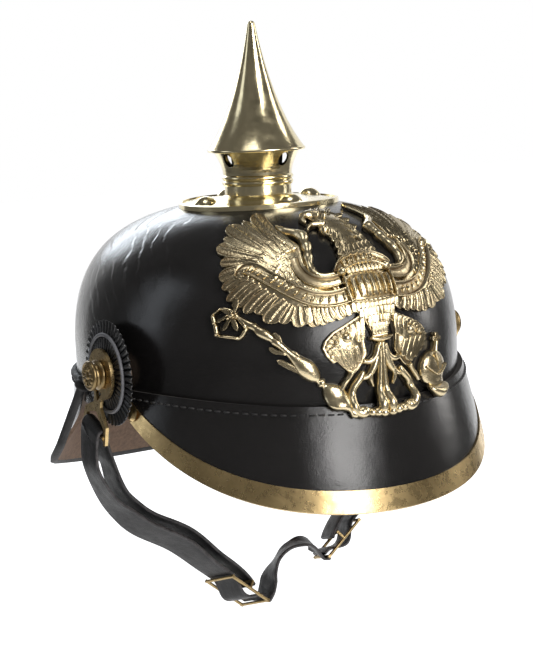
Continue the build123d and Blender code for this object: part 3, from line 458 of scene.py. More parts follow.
class Relief:
    """Collects the closed raised forms of the plate, each with its polish."""

    def __init__(self, square, shift, thickness, step, flange_top):
        self.square, self.shift = square, shift
        self.thickness, self.step, self.flange_top = thickness, step, flange_top
        self.points, self.faces, self.polish = [], [], []

    def add(self, u, v, height, polish):
        """Height is over the back of the plate, which steps out over the visor's flange."""
        u, v = u * self.square, v * self.square
        back = self.thickness / 4 + self.step * (1 - smooth(self.flange_top, 1.7 * self.flange_top, v))
        self.points.append(bend_to_dome(u + self.shift, v, back + height))
        self.polish.append(polish)
        return len(self.points) - 1

    def rings(self, rings):
        for low, high in zip(rings, rings[1:]):
            count = len(low)
            for j in range(count):
                k = (j + 1) % count
                self.faces.append((low[j], low[k], high[k], high[j]))
        self.faces.append(tuple(reversed(rings[0])))
        self.faces.append(tuple(rings[-1]))

    def sweep(self, route, section):
        """Form along rows of u, v, half width and height, with a section's shares across it."""
        rings = []
        last = len(route) - 1
        for i, (u, v, half, height) in enumerate(route):
            before, after = route[max(0, i - 1)], route[min(last, i + 1)]
            du, dv = after[0] - before[0], after[1] - before[1]
            length = hypot(du, dv) or 1.0
            side_u, side_v = dv / length * half, -du / length * half
            ring = [self.add(u - side_u, v - side_v, 0, 0.3)]
            for across, share, polish in section(i / last):
                over = self.thickness + height * share
                ring.append(self.add(u + side_u * across, v + side_v * across, over, polish))
            ring.append(self.add(u + side_u, v + side_v, 0, 0.3))
            rings.append(ring)
        self.rings(rings)

    def patch(self, outline, hub, height):
        """Cushion over a closed outline, highest at its hub, with a raised rim."""
        rings = []
        for reach, share, polish in CUSHION_SHARES:
            over = 0 if share == 0 else self.thickness + height * share
            ring = []
            for u, v in outline:
                out_u, out_v = (u - hub[0]) * reach, (v - hub[1]) * reach
                ring.append(self.add(hub[0] + out_u, hub[1] + out_v, over, polish))
            rings.append(ring)
        self.rings(rings)

    def feather(self, base, control, tip, half, height, steps):
        """Blade with a raised rim and shaft, rounded at its tip."""
        route = []
        for i in range(steps + 1):
            t = 1 - (1 - i / steps) ** 1.6
            s = 1 - t
            u, v = [s * s * a + 2 * t * s * b + t * t * c for a, b, c in zip(base, control, tip)]
            past = max(0.0, (t - TIP_START_SHARE) / (1 - TIP_START_SHARE))
            round_end = sqrt(max(0.0, 1 - past ** 2))
            wide = half * (0.62 + 0.38 * smooth(0, 0.6, t)) * round_end + THIN_SHARE
            route.append((u, v, wide, height * (1 - 0.3 * t)))
        self.sweep(route, barbed if half > BARBED_SHARE else grooved)

    def cord(self, points, height, steps=5):
        """Round rod through u, v, half width rows; its height follows its width."""
        widest = max(row[2] for row in points)
        rows = []
        for u, v, half in curve_through(points, steps):
            rows.append((u, v, half, height * (0.3 + 0.7 * half / widest)))
        self.sweep(rows, half_round)

    def ball(self, u, v, radius, height, stretch=1.0, turn=0.0):
        steps = 9
        rows = []
        for i in range(steps + 1):
            along = -cos(pi * i / steps)
            reach = radius * stretch * along
            half = radius * sqrt(max(0.0, 1 - along * along)) + THIN_SHARE
            rows.append((u + reach * cos(turn), v + reach * sin(turn), half, height * (half / radius)))
        self.sweep(rows, half_round)

    def band(self, points, height):
        """Flat band with two raised rails."""
        rows = [(u, v, half, height) for u, v, half in curve_through(points, 6)]
        self.sweep(rows, railed)
        return rows

    def bars_on(self, rows, first, last, gap, height):
        """Rounded bars across a band, a gap apart."""
        way = 0.0
        for before, after in zip(rows[first:last], rows[first + 1:last + 1]):
            du, dv = after[0] - before[0], after[1] - before[1]
            length = hypot(du, dv)
            way += length
            if way < gap:
                continue
            way = 0.0
            reach = before[2] * 0.52
            across = (dv / length * reach, -du / length * reach)
            slant = (du / length * reach * 0.3, dv / length * reach * 0.3)
            start = (before[0] - across[0] + slant[0], before[1] - across[1] + slant[1], 0.05)
            middle = (before[0], before[1], gap * 0.36)
            end = (before[0] + across[0] - slant[0], before[1] + across[1] - slant[1], 0.05)
            self.cord((start, middle, end), height, 3)

    def piece(self, name, material):
        return make_object(name, self.points, self.faces, material, {"polish": self.polish}, 180)


def barbed(along):
    """Section of a large feather: rim, slanting barbs and shaft, as across, height and polish shares."""
    rows = []
    for across in (-1, -0.93, -0.8, -0.6, -0.36, -0.14, 0, 0.14, 0.36, 0.6, 0.8, 0.93, 1):
        wide = abs(across)
        wave = cos(2 * pi * (11 * along - 1.6 * wide))
        if wide > 0.9:
            rows.append((across, 0.8 if wide < 1 else 0.45, 1.0))
        elif wide > 0.7:
            rows.append((across, 0.5, 0.15))
        elif wide > 0.1:
            rows.append((across, 0.5 + 0.13 * wave, 0.42 + 0.3 * wave))
        else:
            rows.append((across, 1.0, 1.0))
    return rows


def grooved(_):
    """Section of a small feather: a ridge between two grooves."""
    return ((-1, 0.4, 0.6), (-0.8, 0.8, 1.0), (-0.45, 0.45, 0.25), (0, 1.0, 1.0), (0.45, 0.45, 0.25),
            (0.8, 0.8, 1.0), (1, 0.4, 0.6))


def half_round(_):
    """Section of a rod lying on the sheet."""
    return [(sin(turn), max(0.12, cos(turn)), 0.35 + 0.65 * cos(turn))
            for turn in (-1.45, -1.1, -0.7, -0.3, 0, 0.3, 0.7, 1.1, 1.45)]


def railed(_):
    """Section of a band between two rails."""
    half = [(0, 0.46, 0.5), (0.5, 0.4, 0.35), (0.74, 0.3, 0.05), (0.82, 0.95, 0.9), (0.93, 1.0, 1.0),
            (1, 0.55, 0.7)]
    return [(-across, height, polish) for across, height, polish in reversed(half[1:])] + half


# The drawing: feathers as base, control, tip and half width, rods and bands as places with a half width

FLIGHT_FEATHER_SHARES = (
    ((2.75, 9.3), (3.1, 11.0), (2.38, 12.55), 0.36), ((3.2, 9.4), (3.45, 11.0), (3.22, 12.2), 0.22),
    ((3.55, 9.1), (3.95, 11.0), (3.85, 12.4), 0.44), ((3.75, 9.1), (4.4, 10.6), (4.5, 11.7), 0.24),
    ((3.9, 8.9), (4.75, 10.3), (4.98, 11.45), 0.40), ((4.2, 8.9), (5.05, 9.9), (5.45, 10.4), 0.30),
    ((4.7, 8.7), (5.4, 9.4), (5.98, 9.55), 0.40), ((4.9, 8.4), (5.6, 8.85), (6.12, 8.6), 0.38),
    ((4.8, 8.0), (5.6, 8.1), (6.2, 7.6), 0.36), ((4.65, 7.5), (5.45, 7.55), (6.08, 6.9), 0.36),
    ((4.45, 7.0), (5.15, 6.9), (5.7, 6.2), 0.36), ((4.2, 6.6), (4.8, 6.4), (5.25, 5.9), 0.30),
    ((3.85, 6.1), (4.45, 5.85), (4.92, 5.2), 0.42), ((3.65, 5.85), (4.0, 5.45), (4.32, 5.02), 0.27),
    ((3.4, 5.7), (3.55, 5.2), (3.5, 4.68), 0.36), ((3.05, 5.6), (3.2, 5.1), (3.13, 4.75), 0.22),
    ((2.85, 5.5), (2.95, 5.0), (2.82, 4.58), 0.33), ((2.5, 5.4), (2.6, 5.0), (2.38, 4.62), 0.28),
    ((2.15, 5.35), (2.2, 5.0), (1.98, 4.73), 0.28), ((1.7, 5.3), (1.75, 5.0), (1.55, 4.78), 0.30),
    ((1.3, 5.3), (1.3, 5.0), (1.2, 4.85), 0.22),
)
COVERT_SHARES = (
    ((3.55, 8.0), (3.9, 8.7), (3.95, 9.3), 0.22), ((3.75, 7.8), (4.15, 8.4), (4.3, 9.0), 0.20),
    ((3.9, 7.5), (4.3, 8.0), (4.5, 8.6), 0.17), ((3.45, 8.5), (3.6, 9.2), (3.6, 9.9), 0.22),
    ((2.9, 8.7), (2.95, 9.4), (2.9, 10.0), 0.17), ((2.55, 8.7), (2.6, 9.4), (2.62, 10.3), 0.17),
    ((3.15, 8.6), (3.3, 9.4), (3.2, 10.0), 0.18),
)
SCALE_PITCH_SHARE, SCALE_STAGGER_SHARE, SCALE_SLOPE_SHARE = 0.24, 0.1, 0.09
SCALE_TIP_SHARE, SCALE_HALF_SHARE = (0.09, 0.5), 0.13
SCALE_ROW_SHARES = ((2.95, 6.5), (3.15, 6.95), (3.2, 7.4), (3.15, 7.85), (3.0, 8.3), (2.75, 8.7))
ARM_SHARES = (
    (2.42, 10.7, 0.05), (2.32, 10.2, 0.16), (2.0, 9.75, 0.20), (1.82, 9.35, 0.29),
    (1.95, 8.98, 0.19), (1.98, 8.65, 0.27), (2.1, 8.3, 0.19), (2.22, 8.0, 0.25), (2.32, 7.65, 0.18),
    (2.35, 7.3, 0.22), (2.2, 7.0, 0.16), (1.9, 6.84, 0.13), (1.4, 6.82, 0.10),
)
INNER_BAND_SHARES = (
    (2.78, 8.25, 0.20), (2.88, 7.6, 0.24), (2.72, 7.0, 0.27), (2.3, 6.6, 0.28), (1.75, 6.46, 0.27),
    (1.28, 6.48, 0.25),
)
MAIN_BAND_SHARES = (
    (5.2, 8.55, 0.10), (5.22, 8.9, 0.22), (4.92, 9.05, 0.31), (4.6, 8.6, 0.34), (4.3, 7.85, 0.34),
    (3.88, 7.1, 0.35), (3.35, 6.4, 0.36), (2.75, 5.9, 0.37), (2.05, 5.68, 0.37), (1.45, 5.68, 0.36),
    (1.0, 5.75, 0.34),
)
WING_FIELD_SHARES = (
    (1.3, 6.7), (2.3, 6.9), (2.5, 7.8), (2.2, 8.9), (2.5, 10.2), (2.6, 12.0), (3.2, 11.9),
    (3.9, 12.1), (4.9, 11.1), (5.6, 9.6), (6.0, 8.6), (6.0, 7.6), (5.8, 6.8), (5.3, 6.1),
    (4.7, 5.4), (3.6, 4.95), (2.8, 4.85), (2.0, 4.95), (1.2, 5.1),
)
WING_HUB_SHARE = (3.6, 7.4)
THIGH_SHARES = (
    (0.6, 4.9), (1.0, 4.7), (1.6, 4.43), (2.2, 4.18), (2.6, 3.85), (2.75, 3.5), (2.6, 3.15),
    (2.32, 2.78), (2.15, 2.85), (1.9, 2.6), (1.65, 2.35), (1.4, 2.2), (1.15, 2.4), (0.9, 2.75),
    (0.72, 3.05), (0.8, 3.6), (0.85, 4.1), (0.62, 4.5),
)
THIGH_HUB_SHARE = (1.6, 3.5)
THIGH_BLADE_SHARES = (
    ((2.35, 3.55), (2.1, 3.1), (1.75, 2.6), 0.16), ((2.0, 3.6), (1.8, 3.0), (1.55, 2.45), 0.16),
    ((1.65, 3.55), (1.5, 3.0), (1.35, 2.5), 0.16), ((1.3, 3.5), (1.2, 3.1), (1.1, 2.7), 0.14),
    ((1.35, 4.45), (1.3, 4.1), (1.4, 3.8), 0.13), ((1.1, 4.55), (1.0, 4.0), (1.1, 3.6), 0.14),
    ((0.85, 4.65), (0.85, 4.2), (0.92, 3.7), 0.12),
)
THIGH_COMB_SHARES = (
    (1.55, 4.35), (1.8, 4.24), (2.05, 4.12), (2.27, 3.98), (2.45, 3.8), (2.57, 3.58), (2.52, 3.32),
    (2.4, 3.06),
)
LEG_SHARES = ((1.5, 2.3, 0.16), (1.65, 2.05, 0.12), (1.85, 1.8, 0.13), (2.05, 1.5, 0.12))
OUTER_PLUME_SHARES = (
    (0.95, 2.3, 0.10), (1.1, 2.0, 0.19), (1.42, 1.6, 0.20), (1.55, 1.1, 0.19), (1.45, 0.65, 0.20),
    (1.15, 0.5, 0.24), (0.95, 0.72, 0.16),
)
SIDE_PLUME_SHARES = (
    ((0.15, 3.4, 0.16), (0.3, 2.95, 0.16), (0.6, 2.7, 0.15), (0.95, 2.75, 0.13)),
    ((0.15, 3.2, 0.16), (0.35, 2.6, 0.19), (0.62, 2.15, 0.17), (0.95, 1.98, 0.12), (1.1, 2.2, 0.08)),
    ((0.55, 2.3, 0.12), (0.62, 1.95, 0.12), (0.5, 1.55, 0.07)),
)
CENTRE_PLUME_SHARES = (
    (0.07, 3.5, 0.14), (0.08, 2.6, 0.14), (0.14, 1.6, 0.17), (0.22, 0.75, 0.24), (0.25, 0.5, 0.2),
)
TOE_SHARES = ((1.15, 0.55, 0.26), (0.78, 0.5, 0.2), (0.5, 0.47, 0.22), (0.2, 0.42, 0.22))
HEAD_OUTLINE_SHARES = (
    (-1.05, 7.2), (-0.8, 7.8), (-0.62, 8.4), (-0.62, 8.95), (-0.8, 9.3), (-0.75, 9.75),
    (-0.55, 10.1), (-0.7, 10.6), (-0.55, 11.1), (-0.1, 11.35), (0.4, 11.3), (0.8, 10.95),
    (0.85, 10.4), (0.92, 9.8), (0.9, 9.0), (0.9, 8.2), (1.0, 7.6), (1.2, 7.2), (0.1, 7.0),
)
HEAD_HUB_SHARE = (0.12, 9.2)
CREST_SHARES = (
    ((-0.3, 10.8), (-0.3, 11.2), (-0.05, 11.5), 0.13), ((0.05, 10.8), (0.1, 11.3), (0.35, 11.5), 0.13),
    ((0.35, 10.6), (0.5, 11.1), (0.8, 11.25), 0.14), ((0.45, 10.2), (0.8, 10.6), (1.05, 10.5), 0.13),
    ((0.5, 9.8), (0.8, 10.1), (1.08, 9.95), 0.12), ((0.5, 9.3), (0.8, 9.5), (1.05, 9.3), 0.12),
)
UPPER_BEAK_SHARES = (
    (-0.1, 10.75, 0.26), (-0.45, 10.95, 0.24), (-0.8, 10.95, 0.19), (-1.02, 10.7, 0.13),
    (-1.05, 10.35, 0.05),
)
LOWER_BEAK_SHARES = ((-0.35, 9.9, 0.2), (-0.75, 10.0, 0.14), (-1.05, 9.98, 0.1), (-1.32, 9.72, 0.04))
COLLAR_SHARES = (
    (-1.28, 6.85, 0.2), (-1.0, 7.08, 0.26), (-0.5, 7.25, 0.28), (0.0, 7.3, 0.28), (0.5, 7.25, 0.28),
    (0.95, 7.05, 0.26), (1.22, 6.8, 0.2),
)
BREAST_SHARES = (
    (-1.12, 5.35), (-1.16, 5.9), (-1.1, 6.5), (-0.6, 6.75), (0.0, 6.85), (0.6, 6.75), (1.1, 6.5),
    (1.16, 5.9), (1.12, 5.35), (0.5, 5.25), (-0.5, 5.25),
)
BELLY_SHARES = (
    (-1.25, 5.5), (-1.1, 5.0), (-0.75, 4.75), (-0.6, 4.35), (-0.38, 3.9), (-0.4, 3.7), (0.4, 3.7),
    (0.38, 3.9), (0.6, 4.35), (0.75, 4.75), (1.1, 5.0), (1.25, 5.5),
)
SCEPTRE_SWELL_SHARE = 1.15
SCEPTRE_STEM_SHARES = (
    (-1.45, 0.42, 0.13), (-1.55, 0.52, 0.17), (-1.7, 0.68, 0.1), (-1.85, 0.85, 0.2),
    (-2.05, 1.08, 0.4), (-2.3, 1.35, 0.44), (-2.55, 1.62, 0.3), (-2.72, 1.8, 0.12),
    (-2.85, 1.93, 0.2), (-2.98, 2.03, 0.11), (-3.15, 2.25, 0.28), (-3.5, 2.65, 0.38),
    (-3.85, 3.05, 0.26), (-4.15, 3.4, 0.16), (-4.45, 3.78, 0.15), (-4.7, 4.1, 0.19),
    (-4.82, 4.25, 0.15), (-5.0, 4.45, 0.2), (-5.25, 4.75, 0.24), (-5.45, 5.05, 0.16),
    (-5.62, 5.3, 0.2), (-5.85, 5.65, 0.13), (-6.1, 6.1, 0.12), (-6.35, 6.45, 0.13),
)
SCEPTRE_LEAF_SHARES = (
    ((-3.3, 2.35), (-3.75, 3.05), (-4.05, 3.55), 0.13),
    ((-3.4, 2.3), (-4.2, 2.75), (-4.72, 3.15), 0.13),
    ((-4.3, 3.45), (-4.8, 3.5), (-5.0, 3.85), 0.11), ((-4.5, 3.9), (-4.5, 4.3), (-4.75, 4.6), 0.1),
)
FINIAL_SHARES = (
    (-6.25, 4.62, 0.12), (-7.25, 5.2, 0.13), (-7.2, 6.4, 0.12), (-7.15, 7.3, 0.12),
    (-6.65, 7.45, 0.12), (-6.3, 6.9, 0.12), (-6.1, 6.1, 0.12), (-5.85, 5.2, 0.12),
    (-6.25, 4.62, 0.12),
)
FINIAL_SPOKE_SHARES = (
    ((-6.35, 6.4), (-6.6, 6.1), (-6.9, 5.5), 0.11), ((-6.35, 6.4), (-6.35, 5.9), (-6.3, 5.2), 0.12),
    ((-6.4, 6.45), (-6.8, 6.6), (-7.1, 6.4), 0.12), ((-6.4, 6.5), (-6.5, 7.0), (-6.6, 7.4), 0.11),
    ((-6.25, 6.5), (-5.95, 7.0), (-5.85, 7.6), 0.12),
)
FINIAL_PLACE_SHARE = (-6.35, 6.42)
ORB_PLACE_SHARE = (3.15, 1.85)
ORB_BELT_SHARES = ((-0.75, 0.2, 0.07), (0.0, -0.28, 0.09), (0.75, 0.1, 0.07))
ORB_ARCH_SHARES = ((0.0, -0.25, 0.06), (0.05, 0.3, 0.08), (-0.1, 0.72, 0.06))
ORB_CLAW_SHARES = ((-0.6, -0.75, 0.12), (0.0, -1.05, 0.3), (0.6, -0.8, 0.12))
ORB_STALK_SHARES = ((0.15, 0.7, 0.12), (0.35, 1.35, 0.08))
CHEEK_PLACE_SHARE, EYE_PLACE_SHARE = (-0.62, 9.42), (-0.12, 10.3)
BELLY_HUB_SHARE, BREAST_HUB_SHARE = (0.0, 4.8), (0.0, 6.0)
BREAST_SIDE_SHARES = ((-1.14, 6.55, 0.07), (-1.18, 5.9, 0.07), (-1.14, 5.33, 0.07))
BREAST_FOOT_SHARES = ((-1.14, 5.35, 0.07), (0.0, 5.25, 0.07), (1.14, 5.35, 0.07))
FLUTE_SHARES = ((6.45, 0.05), (6.3, 0.1), (5.7, 0.1), (5.5, 0.05))
# Rows of small feathers under the breast: height on the plate, count and pitch
BELLY_ROW_SHARES = ((5.3, 11, 0.22), (4.95, 9, 0.2), (4.6, 6, 0.18), (4.25, 5, 0.15))
PLUME_TIE_SHARES = ((-0.52, 3.72, 0.1), (-0.25, 3.64, 0.13), (0.25, 3.64, 0.13), (0.52, 3.72, 0.1))
COLLAR_END_SHARE = (1.12, 6.82)
# Balls on a thigh: place, radius and height
THIGH_BALL_SHARES = ((1.62, 3.85, 0.27, 1.0), (2.1, 3.72, 0.15, 0.9))


def mirrored(row, side):
    return (row[0] * side, *row[1:])


def mirrored_rows(rows, side):
    return [mirrored(row, side) for row in rows]


def moved_rows(rows, place):
    return [(u + place[0], v + place[1], half) for u, v, half in rows]


def between(first, last, share):
    return tuple(a + (b - a) * share for a, b in zip(first, last))


def wing_relief(relief, side, tall):
    relief.patch(mirrored_rows(WING_FIELD_SHARES, side), mirrored(WING_HUB_SHARE, side), 0.25 * tall)
    for *line, half in FLIGHT_FEATHER_SHARES:
        relief.feather(*mirrored_rows(line, side), half, 0.5 * tall, 26 if half > BARBED_SHARE else 12)
    for *line, half in COVERT_SHARES:
        relief.feather(*mirrored_rows(line, side), half, 0.62 * tall, 10)
    for row, (u, v) in enumerate(SCALE_ROW_SHARES):
        for column in range(4):
            rise = SCALE_STAGGER_SHARE * (column % 2) + SCALE_SLOPE_SHARE * column
            base = ((u + SCALE_PITCH_SHARE * column) * side, v + rise)
            tip = (base[0] + SCALE_TIP_SHARE[0] * side, base[1] + SCALE_TIP_SHARE[1])
            high = (0.58 - 0.02 * row) * tall
            relief.feather(base, between(base, tip, 0.5), tip, SCALE_HALF_SHARE, high, 7)
    relief.cord(mirrored_rows(ARM_SHARES, side), 0.95 * tall, 4)
    relief.band(mirrored_rows(INNER_BAND_SHARES, side), 0.72 * tall)
    rows = relief.band(mirrored_rows(MAIN_BAND_SHARES, side), 0.72 * tall)
    relief.bars_on(rows, 12, len(rows) - 2, 0.30, 0.62 * tall)


def leg_relief(relief, side, tall):
    relief.patch(mirrored_rows(THIGH_SHARES, side), mirrored(THIGH_HUB_SHARE, side), 0.6 * tall)
    for *line, half in THIGH_BLADE_SHARES:
        relief.feather(*mirrored_rows(line, side), half, 0.95 * tall, 10)
    for base in THIGH_COMB_SHARES:
        tip = between(base, THIGH_HUB_SHARE, 0.3)
        line = mirrored_rows((base, between(base, tip, 0.5), tip), side)
        relief.feather(*line, 0.1, 0.85 * tall, 7)
    for u, v, radius, high in THIGH_BALL_SHARES:
        relief.ball(u * side, v, radius, high * tall)
    relief.cord(mirrored_rows(LEG_SHARES, side), 0.7 * tall)
    relief.cord(mirrored_rows(OUTER_PLUME_SHARES, side), 0.8 * tall, 6)
    relief.cord(mirrored_rows(CENTRE_PLUME_SHARES, side), 0.8 * tall, 6)
    for points in SIDE_PLUME_SHARES:
        relief.cord(mirrored_rows(points, side), 0.7 * tall)
    for u, v, radius in TOE_SHARES:
        relief.ball(u * side, v, radius, 0.8 * tall)


def neck_feathers(relief, tall):
    """Rows of small feathers down the neck, wider towards its foot."""
    for row in range(6):
        count = 6 + row % 2
        spread = 0.95 + 0.12 * (5 - row)
        for column in range(count):
            share = (column + 0.5) / count - 0.5
            base = (0.12 + 1.35 * share * (0.75 + 0.08 * (5 - row)), 7.75 + 0.42 * row)
            tip = (0.1 + 1.5 * share * spread, base[1] - 0.55)
            control = ((base[0] + tip[0]) / 2, base[1] - 0.28)
            relief.feather(base, control, tip, 0.12, (0.95 - 0.03 * row) * tall, 7)


def breast_relief(relief, tall):
    """Belly and breast with flutes, a frame and rows of small feathers."""
    relief.patch(BELLY_SHARES, BELLY_HUB_SHARE, 0.7 * tall)
    relief.patch(BREAST_SHARES, BREAST_HUB_SHARE, 0.8 * tall)
    for column in range(7):
        u = 0.3 * (column - 3)
        relief.cord([(u, v, half) for v, half in FLUTE_SHARES], 1.12 * tall, 3)
    for side in (1, -1):
        relief.cord(mirrored_rows(BREAST_SIDE_SHARES, side), tall)
    relief.cord(BREAST_FOOT_SHARES, tall)
    for column in range(9):
        u = 0.2 * (column - 4)
        relief.feather((u, 7.0), (u, 6.8), (u * 1.02, 6.62), 0.08, tall, 6)
    for row, (v, count, pitch) in enumerate(BELLY_ROW_SHARES):
        for column in range(count):
            u = pitch * (column - (count - 1) / 2)
            line = ((u, v + 0.1), (u, v - 0.15), (u * 0.98, v - 0.42))
            relief.feather(*line, 0.1, (0.98 - 0.04 * row) * tall, 7)
    relief.cord(PLUME_TIE_SHARES, 0.95 * tall)


def body_relief(relief, tall):
    relief.patch(HEAD_OUTLINE_SHARES, HEAD_HUB_SHARE, 0.75 * tall)
    neck_feathers(relief, tall)
    for *line, half in CREST_SHARES:
        relief.feather(*line, half, 0.8 * tall, 9)
    relief.cord(UPPER_BEAK_SHARES, 0.95 * tall)
    relief.cord(LOWER_BEAK_SHARES, 0.8 * tall)
    relief.ball(*CHEEK_PLACE_SHARE, 0.24, 0.95 * tall, 1.2, 0.9)
    relief.ball(*EYE_PLACE_SHARE, 0.13, 1.15 * tall)
    breast_relief(relief, tall)
    rows = relief.band(COLLAR_SHARES, 1.05 * tall)
    relief.bars_on(rows, 5, len(rows) - 6, 0.2, 0.9 * tall)
    for side in (1, -1):
        relief.ball(*mirrored(COLLAR_END_SHARE, side), 0.23, 1.2 * tall)


def regalia_relief(relief, tall):
    """Sceptre with its leaves and finial, and the orb on its claw."""
    stem = [(u, v, SCEPTRE_SWELL_SHARE * half) for u, v, half in SCEPTRE_STEM_SHARES]
    relief.cord(stem, 0.95 * tall)
    for *line, half in SCEPTRE_LEAF_SHARES + FINIAL_SPOKE_SHARES:
        relief.feather(*line, half, 0.6 * tall, 10)
    for low, high in zip(FINIAL_SHARES, FINIAL_SHARES[1:]):
        relief.cord((low, high), 0.5 * tall, 3)
    u, v = FINIAL_PLACE_SHARE
    relief.ball(u, v, 0.22, 0.8 * tall)
    for turn in range(5):
        angle = 2 * pi * turn / 5
        relief.ball(u + 0.22 * cos(angle), v + 0.22 * sin(angle), 0.12, 0.75 * tall)
    u, v = ORB_PLACE_SHARE
    relief.ball(u, v, 0.85, 1.15 * tall, 1.1)
    relief.cord(moved_rows(ORB_BELT_SHARES, ORB_PLACE_SHARE), 1.35 * tall)
    relief.cord(moved_rows(ORB_ARCH_SHARES, ORB_PLACE_SHARE), 1.35 * tall)
    relief.cord(moved_rows(ORB_CLAW_SHARES, ORB_PLACE_SHARE), 0.9 * tall)
    u, v = u + 0.35, v + 1.35
    for du, dv in ((0.0, 0.3), (0.0, -0.3), (0.3, 0.0), (-0.3, 0.0)):
        relief.feather((u, v), (u + du / 2, v + dv / 2), (u + du, v + dv), 0.1, 0.8 * tall, 7)
    relief.cord(moved_rows(ORB_STALK_SHARES, ORB_PLACE_SHARE), 0.7 * tall)


# Mesh makers

def make_object(name, points, faces, material, attributes, sharp):
    """Object of closed forms with their normals outwards and edges sharp from an angle on."""
    mesh = bpy.data.meshes.new(name)
    mesh.from_pydata([tuple(p) for p in points], [], faces)
    for label, values in attributes.items():
        layer = mesh.attributes.new(label, "FLOAT", "POINT")
        layer.data.foreach_set("value", values)
    tidy = bmesh.new()
    tidy.from_mesh(mesh)
    bmesh.ops.recalc_face_normals(tidy, faces=tidy.faces)
    tidy.to_mesh(mesh)
    tidy.free()
    mesh.shade_smooth()
    mesh.set_sharp_from_angle(angle=radians(sharp))
    mesh.materials.append(material)
    piece = bpy.data.objects.new(name, mesh)
    bpy.context.scene.collection.objects.link(piece)
    return piece


class Shape:
    """Points and faces of one piece made of several closed forms."""

    def __init__(self):
        self.points, self.faces, self.values = [], [], []

    def rings(self, rings, closed=False, value=None):
        """Joins rings of points with quads; value has a number for each place in a ring."""
        first = len(self.points)
        count = len(rings[0])
        for ring in rings:
            self.points.extend(ring)
            self.values.extend(value or [0.0] * count)
        pairs = list(zip(range(len(rings)), range(1, len(rings))))
        if closed:
            pairs.append((len(rings) - 1, 0))
        for low, high in pairs:
            for j in range(count):
                k = (j + 1) % count
                self.faces.append((first + low * count + j, first + low * count + k,
                                   first + high * count + k, first + high * count + j))
        if not closed:
            self.faces.append(tuple(first + j for j in reversed(range(count))))
            self.faces.append(tuple(first + (len(rings) - 1) * count + j for j in range(count)))

    def tube(self, route, radius, sides=8, closed=False):
        """Round thread or wire along points."""
        rings = []
        last = len(route) - 1
        for i, point in enumerate(route):
            before = route[i - 1] if closed or i > 0 else route[0]
            after = route[(i + 1) % len(route)] if closed or i < last else route[last]
            along = (after - before).normalized()
            side = along.orthogonal() if not rings else along.cross(self.lift).normalized()
            side = (side - along * side.dot(along)).normalized()
            self.lift = side.cross(along)
            reach = 0.35 * radius if not closed and i in (0, last) else radius
            turns = [2 * pi * j / sides for j in range(sides)]
            rings.append([point + (side * cos(turn) + self.lift * sin(turn)) * reach for turn in turns])
        self.rings(rings, closed)

    def piece(self, name, body, material, label="", sharp=50):
        attributes = {label: self.values} if label else {}
        piece = make_object(name, self.points, self.faces, material, attributes, sharp)
        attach(piece, body)
        return piece


# Chin strap. The stations are shares of the half span and drop, with the width's tilt in degrees
# and the gap between the two layers as a share of the strap's width

STRAP_SPAN, STRAP_DROP, STRAP_WIDTH, STRAP_THICK = 0.1034, 0.106, 0.017, 0.0017
FOLD_RADIUS, STRAIGHT = 0.0026, 0.0066
BAR_PLACE = Vector((0.09985, -0.01008, -0.00615))
HANGER_TILT = radians(20)
RIGHT_ROUTE_SHARES = (
    (-1.000, 0.102, -0.236, 0, 0.50), (-0.940, 0.120, -0.379, 10, 0.40),
    (-0.865, 0.130, -0.468, 25, 0.32), (-0.775, 0.140, -0.548, 32, 0.32),
    (-0.600, 0.152, -0.655, 32, 0.36), (-0.452, 0.160, -0.790, 24, 0.34),
    (-0.298, 0.1664, -0.919, 24, 0.34), (-0.210, 0.170, -0.993, 24, 0.34),
)
LEFT_ROUTE_SHARES = (
    (0.982, 0.100, -0.241, 0, 0.50), (0.909, 0.120, -0.387, 10, 0.40),
    (0.774, 0.131, -0.486, 20, 0.34), (0.600, 0.140, -0.552, 22, 0.34),
    (0.430, 0.155, -0.658, 20, 0.34), (0.266, 0.1664, -0.778, 20, 0.34),
    (0.170, 0.1730, -0.849, 20, 0.34),
)
# Stations of the run between the slides: shares of span and drop, and an extra turn in degrees
RUN_SHARES = (
    (-0.190, 0.172, -1.002, 15), (-0.163, 0.175, -0.996, 19), (-0.146, 0.178, -0.962, 23),
    (-0.134, 0.182, -0.912, 20), (-0.118, 0.185, -0.866, 4), (-0.088, 0.188, -0.822, -11),
    (-0.045, 0.190, -0.786, -11), (0.004, 0.190, -0.770, -5), (0.052, 0.189, -0.768, 0),
    (0.095, 0.185, -0.780, 12), (0.128, 0.180, -0.802, 18), (0.152, 0.175, -0.828, 15),
)
SLIDE_STATION = 6
# The outer layer bulges over its slide
BULGE, BULGE_REACH = 0.0055, 0.0105
# Where the inner leg ends it closes up to the outer one
CLOSED_GAP_SHARE, CLOSED_LAYERS = 0.34, 1.25
# Half of the strap's outline across, from the middle to the edge: across, thickness and the share of pale
# edge colour, which is partly wear and partly painted highlight
STRAP_SECTION_SHARES = (
    (0.0, 1.08, 0.0), (0.5, 1.04, 0.0), (0.8, 0.98, 0.1), (0.86, 0.86, 0.0), (0.9, 0.97, 0.5),
    (0.965, 0.8, 1.0), (1.0, 0.3, 0.9),
)


def strap_section():
    """Across, thickness and pale edge shares, partly wear and partly painted highlight, round the whole
    section.
    """
    top = [(-a, t, w) for a, t, w in reversed(STRAP_SECTION_SHARES[1:])] + list(STRAP_SECTION_SHARES)
    return top + [(a, -t, w) for a, t, w in reversed(top)]


def strap_place(x, y, z):
    return x * STRAP_SPAN, -y * STRAP_SPAN, z * STRAP_DROP


def travels_along(points):
    """Unit directions from each point's neighbour before to the one after."""
    last = len(points) - 1
    return [(points[min(last, i + 1)] - points[max(0, i - 1)]).normalized() for i in range(len(points))]


